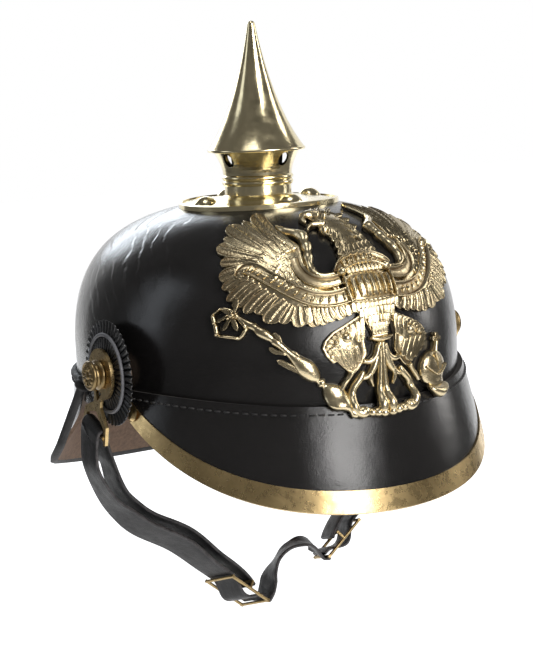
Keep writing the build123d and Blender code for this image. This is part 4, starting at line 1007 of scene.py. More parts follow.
def strap_frames(rows):
    """Centre, travel, width and face directions along a route."""
    points = [Vector(strap_place(*row[:3])) for row in rows]
    frames = []
    for row, point, travel in zip(rows, points, travels_along(points)):
        front = Vector((0, -1, 0))
        front = (front - travel * front.dot(travel)).normalized()
        face = front.cross(travel)
        wanted = Vector((0, 0, 1)) if abs(row[0]) < 0.9 else Vector((-row[0], 0, 0))
        if face.dot(wanted) < 0:
            face = -face
        tilt = radians(row[3])
        width = front * cos(tilt) + face * sin(tilt)
        frames.append((point, travel, width, face * cos(tilt) - front * sin(tilt)))
    return frames


def belt(name, stations, material, nodes):
    """Belt with rounded edges, made paler by wear and by painted highlight, and two pressed lines through
    its stations.
    """
    shape = Shape()
    section = strap_section()
    half, thick = STRAP_WIDTH / 2, STRAP_THICK / 2
    rings = []
    for centre, width, face in stations:
        rings.append([centre + width * (a * half) + face * (t * thick) for a, t, _ in section])
    # These shares paint the edges paler: partly wear, partly painted highlight
    shape.rings(rings, value=[wear_and_sheen for _, _, wear_and_sheen in section])
    piece = shape.piece(name, "chin_strap", material, "wear_and_sheen", 60)
    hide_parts(*nodes)


def strap_loop_stations(side, route, slide_station, steps=10):
    """Stations of one half of the strap, from the slide up to the hanger's bar and down the inner leg."""
    down = Vector((0, sin(HANGER_TILT), -cos(HANGER_TILT)))
    rows = []
    for drop in (0, STRAIGHT / 2, STRAIGHT):
        at = BAR_PLACE + down * drop
        x = side * (BAR_PLACE.x + FOLD_RADIUS) / STRAP_SPAN
        rows.append((x, -at.y / STRAP_SPAN, at.z / STRAP_DROP, 0, 2 * FOLD_RADIUS / STRAP_WIDTH))
    in_slide = (slide_station + len(rows)) * steps
    rows = curve_through(rows + list(route), steps)
    frames = strap_frames(rows)
    outer, inner = [], []
    for row, (point, _, width, face) in zip(rows, frames):
        near = max(0.0, 1 - ((point - frames[in_slide][0]).length / BULGE_REACH) ** 2)
        outer.append((point - face * (BULGE * near * near), width, face))
        inner.append((point + face * (row[4] * STRAP_WIDTH), width, -face))
    inner = inner[: in_slide + steps // 3]
    for i in range(steps):
        point, width, face = inner[-1 - i]
        closing = (1 - i / steps) ** 2 * (CLOSED_GAP_SHARE * STRAP_WIDTH - CLOSED_LAYERS * STRAP_THICK)
        inner[-1 - i] = (point + face * closing, width, face)
    top, travel, width, face = frames[0]
    centre = top + face * FOLD_RADIUS
    fold = []
    for i in range(1, steps):
        turn = pi * i / steps
        arm = face * -cos(turn) - travel * sin(turn)
        fold.append((centre + arm * FOLD_RADIUS, width, -arm))
    return list(reversed(outer)) + fold + inner


def strap_run_stations(first, last, steps=8):
    """Stations of the loose run between the slides; its width is carried along and twisted on the way."""
    rows = [(*first[0], 0)]
    rows += [(*strap_place(x, y, z), turn) for x, y, z, turn in RUN_SHARES]
    rows.append((*last[0], 0))
    rows = curve_through(rows, steps)
    points = [Vector(row[:3]) for row in rows]
    travels = travels_along(points)
    widths = [first[1]]
    for before, after in zip(travels, travels[1:]):
        widths.append(before.rotation_difference(after) @ widths[-1])
    end = last[1] if last[1].dot(widths[-1]) > 0 else -last[1]
    gap = atan2(widths[-1].cross(end).dot(travels[-1]), widths[-1].dot(end))
    stations = []
    for i, (point, travel, width) in enumerate(zip(points, travels, widths)):
        turn = gap * smooth(0, len(points) - 1, i) + radians(rows[i][3])
        width = Quaternion(travel, turn) @ width
        stations.append((point, width, width.cross(travel)))
    return stations


def strap_leather_finish(leather):
    """Satin black leather whose edges are painted paler: partly burnished wear, partly painted highlight.
    """
    material, tree, shader = new_material("strap leather")
    wear_and_sheen = tree.nodes.new("ShaderNodeAttribute")
    wear_and_sheen.attribute_name = "wear_and_sheen"
    spots = ramp(tree, noise(tree, 320, 4, 0.6), 0.25, 0.6)
    patchy = combine(tree, "MULTIPLY", wear_and_sheen.outputs["Fac"], spots)
    tone = blend_colours(tree, ramp(tree, noise(tree, 90, 5, 0.6), 0.3, 0.7),
                         shaded(leather.strap, 0.6), tuple(leather.strap))
    # Pale edge colour where the attribute is high: burnished wear and painted highlight
    tree.links.new(blend_colours(tree, patchy, tone, tuple(leather.edge)), shader.inputs["Base Color"])
    shader.inputs["Specular IOR Level"].default_value = 0.3
    tree.links.new(ramp(tree, noise(tree, 240, 4, 0.6), 0.3, 0.7, 0.34, 0.5), shader.inputs["Roughness"])
    add_bump(tree, shader, cells(tree, 1500), STRAP_GRAIN)
    add_bump(tree, shader, noise(tree, 150, 3, 0.5), STRAP_WAVE)
    return material


# Side fittings, on the posts

POST = Vector((0.0947, -0.020, 0.0211))
COCKADE_FACE = POST.x + 0.0022
KNOB_START = 0.1007
COCKADE_RADIUS, ROSETTE_RADIUS, RING_RADIUS = 0.0248, 0.0168, 0.0181
COCKADE_PLEATS, COCKADE_DEPTH = 44, 0.0016
ROSETTE_PLEATS, ROSETTE_DEPTH, ROSETTE_THICK = 36, 0.0010, 0.0011
PLEAT_HOLE, PLEAT_RIM, PLEAT_RIM_SHARE, PLEAT_NOTCH_SHARE = 0.0032, 0.0006, 0.8, 0.035
COCKADE_SETTLE = {"left": 0.0085, "right": -0.0010}
RING_STANDOFF, RING_THICK, RING_WIDTH = 0.0004, 0.0008, 0.0009


def at_post(side, x, radius, turn, settle):
    """Point round the post's axis; settle bends what lies in front of the post towards the dome."""
    y = POST.y + radius * cos(turn)
    z = POST.z + radius * sin(turn)
    forward = max(0.0, -radius * cos(turn) / COCKADE_RADIUS)
    return Vector((side * (x - settle * forward * forward), y, z))


def pleated_disc(name, side, settle, outer, back, front, depth, pleats, material, node):
    """Disc of radial pleats with rounded ridges and narrow valleys, deeper towards its thin rim."""
    shape = Shape()
    columns = 8 * pleats
    levels = 9
    rings = []
    for i in range(columns):
        turn = 2 * pi * i / columns
        ridge = sqrt(abs(cos(pleats * turn / 2)))
        rim = outer - PLEAT_NOTCH_SHARE * outer * (1 - ridge)
        face, behind = [], []
        for level in range(levels + 1):
            share = level / levels
            swell = sin(pi * min(1.0, 0.12 + share)) ** 0.5 if share > 0.5 else 1.0
            height = front - depth * (1 - ridge) * (0.35 + 0.65 * share) - 0.45 * depth * (1 - swell)
            rear = max(back, height - PLEAT_RIM) if share > PLEAT_RIM_SHARE else back
            radius = PLEAT_HOLE + (rim - PLEAT_HOLE) * share
            face.append(at_post(side, height, radius, turn, settle))
            behind.append(at_post(side, rear, radius, turn, settle))
        rings.append(face + list(reversed(behind)))
    shape.rings(rings, closed=True)
    piece = shape.piece(name, "helmet", material, sharp=70)
    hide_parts(node)


def grey_ring(name, side, settle, material, node):
    shape = Shape()
    columns, edges = 120, 12
    rings = []
    for i in range(columns):
        turn = 2 * pi * i / columns
        ring = []
        for j in range(edges):
            arm = 2 * pi * j / edges
            height = COCKADE_FACE + RING_STANDOFF + RING_THICK * cos(arm)
            ring.append(at_post(side, height, RING_RADIUS + RING_WIDTH * sin(arm), turn, settle))
        rings.append(ring)
    shape.rings(rings, closed=True)
    piece = shape.piece(name, "helmet", material)
    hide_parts(node)


KNOB_OUTLINE_SHARES = (
    (0.0, 0.62), (0.0, 0.90), (0.04, 0.97), (0.12, 0.99), (0.20, 0.95), (0.25, 1.0), (0.30, 0.95),
    (0.36, 0.84), (0.40, 0.78), (0.55, 0.78), (0.60, 0.88), (0.66, 0.97), (0.78, 1.0), (0.88, 0.98),
    (0.95, 0.92), (0.97, 0.87),
)
KNOB_RADIUS, KNOB_DEPTH = 0.0070, 0.0064
KNOB_FACE_SHARE, KNOB_TIP_SHARE, KNOB_FLOOR_SHARE = 0.85, 0.002, 0.90


def knob_face_height(share, turn):
    """Relief of the knob's face: rim, twelve petals and a boss."""
    rim = 0.10 * smooth(0.80, 0.88, share)
    inside, outside = smooth(0.30, 0.42, share), 1 - smooth(0.66, 0.78, share)
    petals = 0.16 * abs(cos(6 * turn)) ** 0.6 * inside * outside
    boss = 0.22 * sqrt(max(0.0, 1 - (share / 0.26) ** 2))
    return rim + petals + boss


def side_knob(name, side, material):
    """Turned knob; its face has a rim, petals and a boss."""
    shape = Shape()
    columns, levels = 96, 20
    rings = []
    for i in range(columns):
        turn = 2 * pi * i / columns
        ring = []
        for along, reach in KNOB_OUTLINE_SHARES:
            ring.append(at_post(side, KNOB_START + KNOB_DEPTH * along, KNOB_RADIUS * reach, turn, 0))
        for level in range(levels):
            share = KNOB_FACE_SHARE * (1 - level / levels) + KNOB_TIP_SHARE
            height = KNOB_DEPTH * (KNOB_FLOOR_SHARE + knob_face_height(share, turn))
            ring.append(at_post(side, KNOB_START + height, KNOB_RADIUS * share, turn, 0))
        rings.append(ring)
    shape.rings(rings, closed=True)
    piece = shape.piece(name, "knob_" + name.split("_")[-1], material, sharp=60)
    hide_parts("side_" + name)


# Dark sleeve inside the spike's neck, behind the air holes: painted shade, a black sheet that makes the
# hollow neck look dark through the holes

SLEEVE_OUTLINE = (
    (0.0122, 0.1020), (0.0126, 0.1060), (0.0124, 0.1110), (0.0128, 0.1160), (0.0122, 0.1178),
    (0.0108, 0.1178), (0.0112, 0.1110), (0.0108, 0.1020),
)
SPIKE_AXIS_Y = -0.0017
SLEEVE_FOLD_SHARE, SLEEVE_FOLDS = 0.015, 9


# The sleeve is painted shade that darkens the air holes from inside
def neck_shade_sleeve(material):
    shape = Shape()
    columns = 64
    rings = []
    for i in range(columns):
        turn = 2 * pi * i / columns
        fold = 1 + SLEEVE_FOLD_SHARE * cos(SLEEVE_FOLDS * turn)
        rings.append([Vector((r * fold * cos(turn), SPIKE_AXIS_Y + r * fold * sin(turn), z))
                      for r, z in SLEEVE_OUTLINE])
    shape.rings(rings, closed=True)
    piece = shape.piece("neck_shade_sleeve", "spike", material)


# Black binding round the edge of the neck guard

GUARD_WIDE, GUARD_REACH, GUARD_BACK = 0.103, 0.126, 0.0087
GUARD_MEAN, GUARD_SWING = -0.0218, -0.0369
GUARD_END, GUARD_CORNER, GUARD_LIFT = radians(72), radians(62), 0.012
GUARD_TOP_END, GUARD_STANDOFF = radians(81), 0.0024
SEAM_HEIGHT, SEAM_SWING = 0.0125, 0.0040
BINDING_WIDTH, BINDING_THICK, GUARD_LEATHER = 0.0021, 0.0006, 0.0022
LUMP_RADIUS, WELT_RADIUS = 0.0042, 0.0019


def guard_point(angle, rise):
    """Point and normal of the guard's outer face, by angle from the rear and rise from its lower edge."""
    top_turn = pi - angle / GUARD_END * GUARD_TOP_END
    top = Vector(((WIDE + GUARD_STANDOFF) * sin(top_turn), -(LONG + GUARD_STANDOFF) * cos(top_turn),
                  SEAM_HEIGHT - SEAM_SWING * cos(angle)))
    bottom = Vector((GUARD_WIDE * sin(angle), GUARD_REACH * cos(angle) + GUARD_BACK,
                     GUARD_MEAN + GUARD_SWING * cos(angle)))
    slope = (top - bottom).normalized()
    corner = min(1.0, max(0.0, (abs(angle) - GUARD_CORNER) / (GUARD_END - GUARD_CORNER)))
    bottom += slope * (GUARD_LIFT * (1 - sqrt(1 - corner ** 2)))
    outward_way = Vector((sin(top_turn) / WIDE, -cos(top_turn) / LONG, 0)).normalized()
    normal = (outward_way - slope * outward_way.dot(slope)).normalized()
    return bottom + (top - bottom) * rise, normal


def guard_edge():
    """Angles and rises along half of the guard's edge, from the rear round the corner and up the end."""
    rear = [(GUARD_CORNER * i / 40, 0.0) for i in range(40)]
    corner = [(GUARD_CORNER + (GUARD_END - GUARD_CORNER) * sin(pi * i / 32), 0.0) for i in range(17)]
    return rear + corner + [(GUARD_END, 0.94 * i / 20) for i in range(1, 21)]


def binding_strip(shape):
    """Thin strip folded over the cut edge of the guard."""
    half = guard_edge()
    route = [guard_point(-angle, rise) for angle, rise in reversed(half[1:])]
    route += [guard_point(angle, rise) for angle, rise in half]
    travels = travels_along([point for point, _ in route])
    rings = []
    for (point, normal), travel in zip(route, travels):
        inward = travel.cross(normal).normalized()
        if inward.z < 0 and abs(inward.z) > abs(inward.x):
            inward = -inward
        out, back = normal * BINDING_THICK, -normal * (GUARD_LEATHER + BINDING_THICK)
        rings.append([
            point + out - inward * BINDING_THICK,
            point + out + inward * BINDING_WIDTH,
            point + inward * (BINDING_WIDTH + BINDING_THICK),
            point - normal * GUARD_LEATHER + inward * BINDING_WIDTH,
            point + back + inward * BINDING_WIDTH,
            point + back - inward * BINDING_THICK,
            point - normal * (GUARD_LEATHER / 2) - inward * (1.8 * BINDING_THICK),
        ])
    shape.rings(rings)


def guard_binding(material):
    """Strip round the guard's edge, the lumps where it ends and the welt along the seam."""
    shape = Shape()
    binding_strip(shape)
    for side in (-1, 1):
        foot, normal = guard_point(side * GUARD_END, 0.93)
        head, _ = guard_point(side * GUARD_END, 1.0)
        way = head - foot
        start = foot - normal * (GUARD_LEATHER / 2)
        shape.tube([start + way * share for share in (-0.6, 0.0, 0.5, 1.1)], LUMP_RADIUS, 16)
        shape.tube([start + way * share for share in (0.9, 1.5, 2.1)], 0.8 * LUMP_RADIUS, 16)
    welt = []
    for i in range(81):
        top, normal = guard_point(GUARD_END * (i / 40 - 1), 1.0)
        welt.append(top - normal * (GUARD_LEATHER / 2))
    shape.tube(welt, WELT_RADIUS, 12)
    piece = shape.piece("guard_binding", "helmet", material, sharp=80)


# Stitches along the seams

STITCH_LENGTH, STITCH_RADIUS, STITCH_PITCH, STITCH_DROP = 0.0030, 0.00042, 0.0042, 0.0034
VISOR_SEAM_MEAN, VISOR_SEAM_SWING, VISOR_SEAM_DIP = 0.0070, 0.0066, 0.0057
VISOR_STITCH_TURNS, GUARD_STITCH_TURNS = (-1.22, 1.22), (pi - 1.32, pi + 1.32)
RAY_START, TURN_STEP = 0.25, 0.01


def visor_stitch_height(turn):
    return VISOR_SEAM_MEAN + VISOR_SEAM_SWING * cos(turn) - VISOR_SEAM_DIP * cos(2 * turn) - STITCH_DROP


def guard_stitch_height(turn):
    return SEAM_HEIGHT + SEAM_SWING * cos(turn) - STITCH_DROP


def seam_point(tree, turn, height):
    """Place and outward direction on a leather's outer face, at a turn from the front."""
    way = Vector((sin(turn), -cos(turn), 0))
    start = way * RAY_START + Vector((0, 0, height))
    place_hit, normal, _, _ = tree.ray_cast(start, -way)
    if place_hit is None:
        raise RuntimeError("a seam misses its leather")
    return place_hit, normal


def stitch_row(name, node, height_at, turns, material):
    """Row of separate stitches: short threads that dive into the leather at both ends."""
    tree = BVHTree.FromObject(NODES[node], bpy.context.evaluated_depsgraph_get())
    turn, last = turns
    shape = Shape()
    while turn < last:
        here, normal = seam_point(tree, turn, height_at(turn))
        there, _ = seam_point(tree, turn + TURN_STEP, height_at(turn + TURN_STEP))
        along = (there - here).normalized()
        route = []
        for share in (-1, -0.75, -0.3, 0.3, 0.75, 1):
            lift = STITCH_RADIUS * (1.1 - 2.6 * abs(share) ** 3)
            route.append(here + along * (STITCH_LENGTH / 2 * share) + normal * lift)
        shape.tube(route, STITCH_RADIUS, 8)
        turn += STITCH_PITCH / hypot(here.x, here.y)
    return shape.piece(name, "helmet", material)


# Liner

def oval_point(radius, turn, height):
    """Point of a round piece stretched to the skull's oval plan."""
    return Vector((radius * cos(turn), radius * sin(turn) * LONG / WIDE, height))


BAND_LOW_RADIUS, BAND_HIGH_RADIUS = 0.0890, 0.0824
BAND_THICK, BAND_WAVE, BAND_FIRM, BAND_SOFT = 0.0013, 0.0005, 0.008, 0.03
# Height over the rim and share of the way from the low to the high radius
BAND_ROWS = (
    (-0.0010, 0.0), (0.0010, 0.06), (0.0040, 0.28), (0.0080, 0.62), (0.0115, 0.92), (0.0145, 1.0),
    (0.0200, 1.03), (0.0260, 1.0), (0.0310, 0.97), (0.0328, 0.98),
)


def sweatband(material):
    """Leather band that starts at the rim and stands off the wall, with soft waves at its upper edge."""
    shape = Shape()
    columns = 180
    rings = []
    for i in range(columns):
        turn = 2 * pi * i / columns
        outer, inner = [], []
        wave = sin(7 * turn) + 0.6 * sin(13 * turn + 1.0)
        for height, share in BAND_ROWS:
            soft = BAND_WAVE * share * wave * smooth(BAND_FIRM, BAND_SOFT, height)
            radius = BAND_LOW_RADIUS + (BAND_HIGH_RADIUS - BAND_LOW_RADIUS) * share - soft
            outer.append(oval_point(radius, turn, height))
            inner.append(oval_point(radius - BAND_THICK, turn, height))
        rings.append(outer + list(reversed(inner)))
    shape.rings(rings, closed=True)
    piece = shape.piece("soft_sweatband", "helmet", material)
    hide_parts("sweatband")


TONGUE_FOOT, TONGUE_TIP = 0.0810, 0.0240
TONGUE_LOW, TONGUE_BOW, TONGUE_TOP = 0.0250, 0.0600, 0.0720
TONGUE_COUNT = 10
TONGUE_THICK, TONGUE_SAG, TONGUE_CURL = 0.0011, 0.0007, 0.0006
# Where a tongue's tip starts to round off, and the way along it that this takes
TONGUE_TIP_SHARE, TONGUE_ROUND_SHARE = 0.86, 0.141


def tongue_line(t):
    """Radius and height along a tongue, from its foot to its tip."""
    s = 1 - t
    radius = s * s * TONGUE_FOOT + 2 * s * t * TONGUE_FOOT + t * t * TONGUE_TIP
    height = s * s * TONGUE_LOW + 2 * s * t * TONGUE_BOW + t * t * TONGUE_TOP
    return radius, height


def tongue_spread(t):
    """Half of the turn that a tongue covers, along it."""
    spread = pi / TONGUE_COUNT * (1 - 0.17 * smooth(0.12, 0.5, t))
    if t > TONGUE_TIP_SHARE:
        spread *= sqrt(max(0.0, 1 - ((t - TONGUE_TIP_SHARE) / TONGUE_ROUND_SHARE) ** 2))
    return spread


def tongues(material):
    """Ten leather tongues with rounded tips, each sagging a little on its own."""
    shape = Shape()
    steps, columns = 26, 10
    for tongue in range(TONGUE_COUNT):
        middle = 2 * pi * (tongue + 0.5) / TONGUE_COUNT
        sag = TONGUE_SAG * (1 + sin(2.4 * tongue))
        rings = []
        for i in range(steps + 1):
            t = i / steps
            radius, height = tongue_line(t)
            in_thick, down_thick = TONGUE_THICK * (1 - 0.6 * t), TONGUE_THICK * 0.8 * t
            top, bottom = [], []
            for j in range(columns + 1):
                share = 2 * j / columns - 1
                turn = middle + tongue_spread(t) * share
                curl = TONGUE_CURL * share * share * smooth(0.2, 0.8, t) + sag * sin(pi * t)
                top.append(oval_point(radius - curl, turn, height - curl))
                bottom.append(oval_point(radius - curl - in_thick, turn, height - curl - down_thick))
            rings.append(top + list(reversed(bottom)))
        shape.rings(rings)
    piece = shape.piece("soft_tongues", "helmet", material)
    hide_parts("liner_tongues")


LACE_RING, LACE_HEIGHT, LACE_RADIUS = 0.0290, 0.0684, 0.0010
LACE_WEAVE, LACE_WAVER, LACE_DROP = 0.0013, 0.0006, 0.0012
KNOT_DROP, KNOT_WIDE, KNOT_LOW, KNOT_RADIUS = 0.0018, 0.0022, 0.001, 0.0011
# The lace's two free ends: start beside the knot, reach, bow forwards, sag and drop
END_START, END_REACH, END_BOW, END_SAG, END_DROP, END_RADIUS = 0.002, 0.011, 0.002, 0.004, 0.003, 0.0009


def lace(material):
    """Cotton lace that runs through the tips of the tongues and is tied in front."""
    shape = Shape()
    route = []
    steps = 120
    for i in range(steps):
        turn = 2 * pi * i / steps
        weave = LACE_WEAVE * cos(TONGUE_COUNT * turn)
        radius = LACE_RING + LACE_WAVER * sin(TONGUE_COUNT * turn)
        route.append(oval_point(radius, turn, LACE_HEIGHT - LACE_DROP + weave))
    shape.tube(route, LACE_RADIUS, 10, closed=True)
    knot = oval_point(LACE_RING, -pi / 2, LACE_HEIGHT - KNOT_DROP)
    for swing in (-1, 1):
        free = []
        for i in range(9):
            share = i / 8
            bend = sin(pi * share)
            across = swing * (END_START + END_REACH * share)
            free.append(knot + Vector((across, -END_BOW * bend, -END_SAG * bend - END_DROP * share)))
        shape.tube(free, END_RADIUS, 8)
    turns = [2 * pi * i / 16 for i in range(16)]
    wrap = [knot + Vector((KNOT_WIDE * cos(turn), 0, KNOT_WIDE * sin(turn) - KNOT_LOW)) for turn in turns]
    shape.tube(wrap, KNOT_RADIUS, 8, closed=True)
    piece = shape.piece("soft_lace", "helmet", material)
    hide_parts("liner_lace")


# Colours and leather grains of the small pieces

THREAD_BLACK, BINDING_BLACK = (0.014, 0.013, 0.013), (0.010, 0.009, 0.009)
# The first black here colours the spike's sleeve: painted shade inside the hollow neck
SHADE_SLEEVE_BLACK, PLEAT_BLACK = (0.012, 0.011, 0.010), (0.012, 0.012, 0.013)
RING_GREY, STEEL_GREY, COTTON = (0.20, 0.20, 0.215), (0.5, 0.5, 0.5), (0.5, 0.44, 0.34)
VISOR_INSIDE, SPACER_BROWN, WEDGE_BROWN = (0.05, 0.045, 0.04), (0.09, 0.06, 0.04), (0.12, 0.08, 0.05)
BINDING_GRAIN, SPACER_GRAIN, LINER_GRAIN, WEDGE_GRAIN = 0.0008, 0.0012, 0.0011, 0.0014
HANGER_SHADE, KNOB_SHADE, SLIDE_SHADE = 0.88, 0.36, 0.55


class HELMET_OT_leather(bpy.types.Operator):
    """Gives the skull, the visor and the neck guard their lacquered leather"""
    bl_idname = "helmet.leather"
    bl_label = "Leather shell"

    def execute(self, context):
        leather = context.scene.helmet_leather
        paint(["skull"], lacquered_leather("skull leather", leather, leather.liner, True))
        paint(["front_visor"], lacquered_leather("visor leather", leather, VISOR_INSIDE, False))
        paint(["neck_guard"], lacquered_leather("guard leather", leather, leather.suede, False))
        thread = plain("waxed thread", THREAD_BLACK, 0.0, 0.5, 500)
        visor_seam = stitch_row("visor_stitches", "front_visor", visor_stitch_height,
                                VISOR_STITCH_TURNS, thread)
        guard_seam = stitch_row("guard_stitches", "neck_guard", guard_stitch_height,
                                GUARD_STITCH_TURNS, thread)
        guard_binding(dyed_leather("binding leather", BINDING_BLACK, 0.62, BINDING_GRAIN))
        return {"FINISHED"}


class HELMET_OT_spike(bpy.types.Operator):
    """Gives the spike, its base and the rear spine their pale brass"""
    bl_idname = "helmet.spike"
    bl_label = "Spike and spine"

    def execute(self, context):
        metal = context.scene.helmet_brass
        pale = brass("pale brass", metal.pale, metal.patina, 0.14, 0.06)
        paint(["spike_cone", "spike_neck", "spike_base", "base_studs", "rear_spine", "spine_studs"], pale)
        paint(["stud_washers"] + both("post_nut"), plain("inner steel", STEEL_GREY, 1.0, 0.4, 120))
        # Black sleeve of painted shade inside the spike's neck, so that its air holes look dark
        neck_shade_sleeve(plain("painted shade black", SHADE_SLEEVE_BLACK, 0.0, 0.9, 400))
        return {"FINISHED"}


class HELMET_OT_trim(bpy.types.Operator):
    """Gives the visor's trim and its rivets their brass"""
    bl_idname = "helmet.trim"
    bl_label = "Visor trim"

    def execute(self, context):
        metal = context.scene.helmet_brass
        worn = brass("trim brass", metal.warm, metal.patina, 0.26, 0.24, 60)
        paint(["visor_trim", "trim_rivets"], worn)
        return {"FINISHED"}


class HELMET_OT_sides(bpy.types.Operator):
    """Gives the cockades, posts, hangers and knobs their finishes"""
    bl_idname = "helmet.sides"
    bl_label = "Side fittings"

    def execute(self, context):
        metal = context.scene.helmet_brass
        warm = brass("hanger brass", shaded(metal.warm, HANGER_SHADE), metal.patina, 0.27, 0.24, 120)
        paint(both("side_post", "strap_hanger"), warm)
        pleats = plain("black pleats", PLEAT_BLACK, 0.0, 0.30, 160)
        ring = plain("grey ring", RING_GREY, 0.0, 0.42, 300)
        dark_knob = brass("knob brass", shaded(metal.warm, KNOB_SHADE), metal.patina, 0.32, 0.36, 260)
        for side_name, side in SIDES:
            settle = COCKADE_SETTLE[side_name]
            pleated_disc("pleats_" + side_name, side, settle, COCKADE_RADIUS, POST.x, COCKADE_FACE,
                         COCKADE_DEPTH, COCKADE_PLEATS, pleats, "cockade_" + side_name)
            pleated_disc("rosette_" + side_name, side, settle, ROSETTE_RADIUS, COCKADE_FACE,
                         COCKADE_FACE + ROSETTE_THICK, ROSETTE_DEPTH, ROSETTE_PLEATS, pleats,
                         "cockade_rosette_" + side_name)
            grey_ring("ring_" + side_name, side, settle, ring, "cockade_ring_" + side_name)
            side_knob("knob_" + side_name, side, dark_knob)
        paint(both("cockade_spacer"), dyed_leather("spacer leather", SPACER_BROWN, 0.7, SPACER_GRAIN))
        return {"FINISHED"}


class HELMET_OT_strap(bpy.types.Operator):
    """Gives the chin strap its satin leather and the slides their brass"""
    bl_idname = "helmet.strap"
    bl_label = "Chin strap"

    def execute(self, context):
        metal = context.scene.helmet_brass
        leather = context.scene.helmet_leather
        finish = strap_leather_finish(leather)
        right = strap_loop_stations(-1, RIGHT_ROUTE_SHARES, SLIDE_STATION)
        left = strap_loop_stations(1, LEFT_ROUTE_SHARES, SLIDE_STATION - 1)
        belt("belt_right", right, finish, ["strap_right"])
        belt("belt_left", left, finish, ["strap_left"])
        belt("belt_centre", strap_run_stations(right[0], left[0]), finish, ["strap_centre"])
        antique = brass("slide brass", shaded(metal.warm, SLIDE_SHADE), metal.patina, 0.34, 0.2, 200)
        paint(["strap_slide_right", "strap_slide_left"], antique)
        return {"FINISHED"}


class HELMET_OT_liner(bpy.types.Operator):
    """Gives the sweatband, the tongues and their lace their finishes"""
    bl_idname = "helmet.liner"
    bl_label = "Liner"

    def execute(self, context):
        leather = context.scene.helmet_leather
        soft = dyed_leather("liner leather", leather.liner, 0.62, LINER_GRAIN)
        sweatband(soft)
        tongues(soft)
        lace(plain("cotton lace", COTTON, 0.0, 0.9, 700))
        paint(["plate_wedges"], dyed_leather("wedge leather", WEDGE_BROWN, 0.8, WEDGE_GRAIN))
        return {"FINISHED"}


class HELMET_OT_eagle(bpy.types.Operator):
    """Builds the stamped eagle, bent to the dome, in place of the plain plate"""
    bl_idname = "helmet.eagle"
    bl_label = "Eagle plate"

    def execute(self, context):
        metal = context.scene.helmet_brass
        plate = context.scene.helmet_plate
        relief = Relief(plate.square, plate.shift, plate.thickness, plate.step, plate.flange_top)
        for side in (1, -1):
            wing_relief(relief, side, plate.relief)
            leg_relief(relief, side, plate.relief)
        body_relief(relief, plate.relief)
        regalia_relief(relief, plate.relief)
        eagle = relief.piece("stamped_eagle", stamped_brass("eagle brass", metal.yellow, metal.patina))
        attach(eagle, "helmet")
        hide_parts("eagle_plate")
        paint(["plate_loops"], brass("loop wire", metal.yellow, metal.patina, 0.28, 0.16, 90))
        return {"FINISHED"}


# Stage

def where_seen(tree):
    """One for camera, mirror and glass rays, so that they all meet the pale backdrop."""
    rays = tree.nodes.new("ShaderNodeLightPath").outputs
    seen = combine(tree, "MAXIMUM", rays["Is Camera Ray"], rays["Is Glossy Ray"])
    return combine(tree, "MAXIMUM", seen, rays["Is Transmission Ray"])


def polar(distance, turn, height):
    """Place round the helmet, with the turn in degrees from the front towards the wearer's left."""
    return distance * sin(radians(turn)), -distance * cos(radians(turn)), height


def softbox(name, location, lean, width, height, power, colour):
    data = bpy.data.lights.new(name, "AREA")
    data.shape = "RECTANGLE"
    data.size = width
    data.size_y = height
    data.energy = power
    data.color = colour
    lamp = bpy.data.objects.new(name, data)
    bpy.context.scene.collection.objects.link(lamp)
    lamp.location = location
    aim = (SIGHT - Vector(location)).to_track_quat("-Z", "Y")
    lamp.rotation_euler = (aim @ Quaternion((0, 0, 1), radians(lean))).to_euler()


SIGHT = Vector((0, 0, 0.04))
SOFTBOXES = (
    # name, distance, turn, height, lean, width, tall, power, colour
    ("front strip", 1.15, 4, 0.45, -26, 0.50, 1.0, 14, (1.0, 0.985, 0.97)),
    ("left strip", 1.2, -112, 0.50, 0, 0.40, 0.9, 1.4, (0.86, 0.92, 1.0)),
    ("right strip", 1.2, 75, 0.45, 0, 0.25, 0.9, 3.5, (1.0, 0.98, 0.95)),
    ("rear box", 1.2, 165, 0.50, 0, 0.9, 0.35, 4.0, (0.84, 0.92, 1.0)),
    ("overhead box", 0.25, -60, 1.25, 0, 0.5, 0.5, 3, (1.0, 1.0, 1.0)),
)
# Radius and height of the flag, from its foot to its top
FLAG_OUTLINE = (
    (0.45, -0.19), (1.35, -0.19), (1.4, 0.35), (1.3, 0.85), (0.9, 1.3), (0.45, 1.5), (0.02, 1.55),
)
FLAG_OPEN_TURNS = (106, 192)
FLAG_OPEN_ROWS = 3
FLOOR_SIZE = 8
# The floor's glow rises to full between these distances from the origin
GLOW_START, GLOW_END = 0.3, 0.75
CAMERA_PLACE, CAMERA_TURN = (-0.38347, -0.63795, 0.14981), (80.5135, 2.4352, -31.5652)
SENSOR_HEIGHT = 36


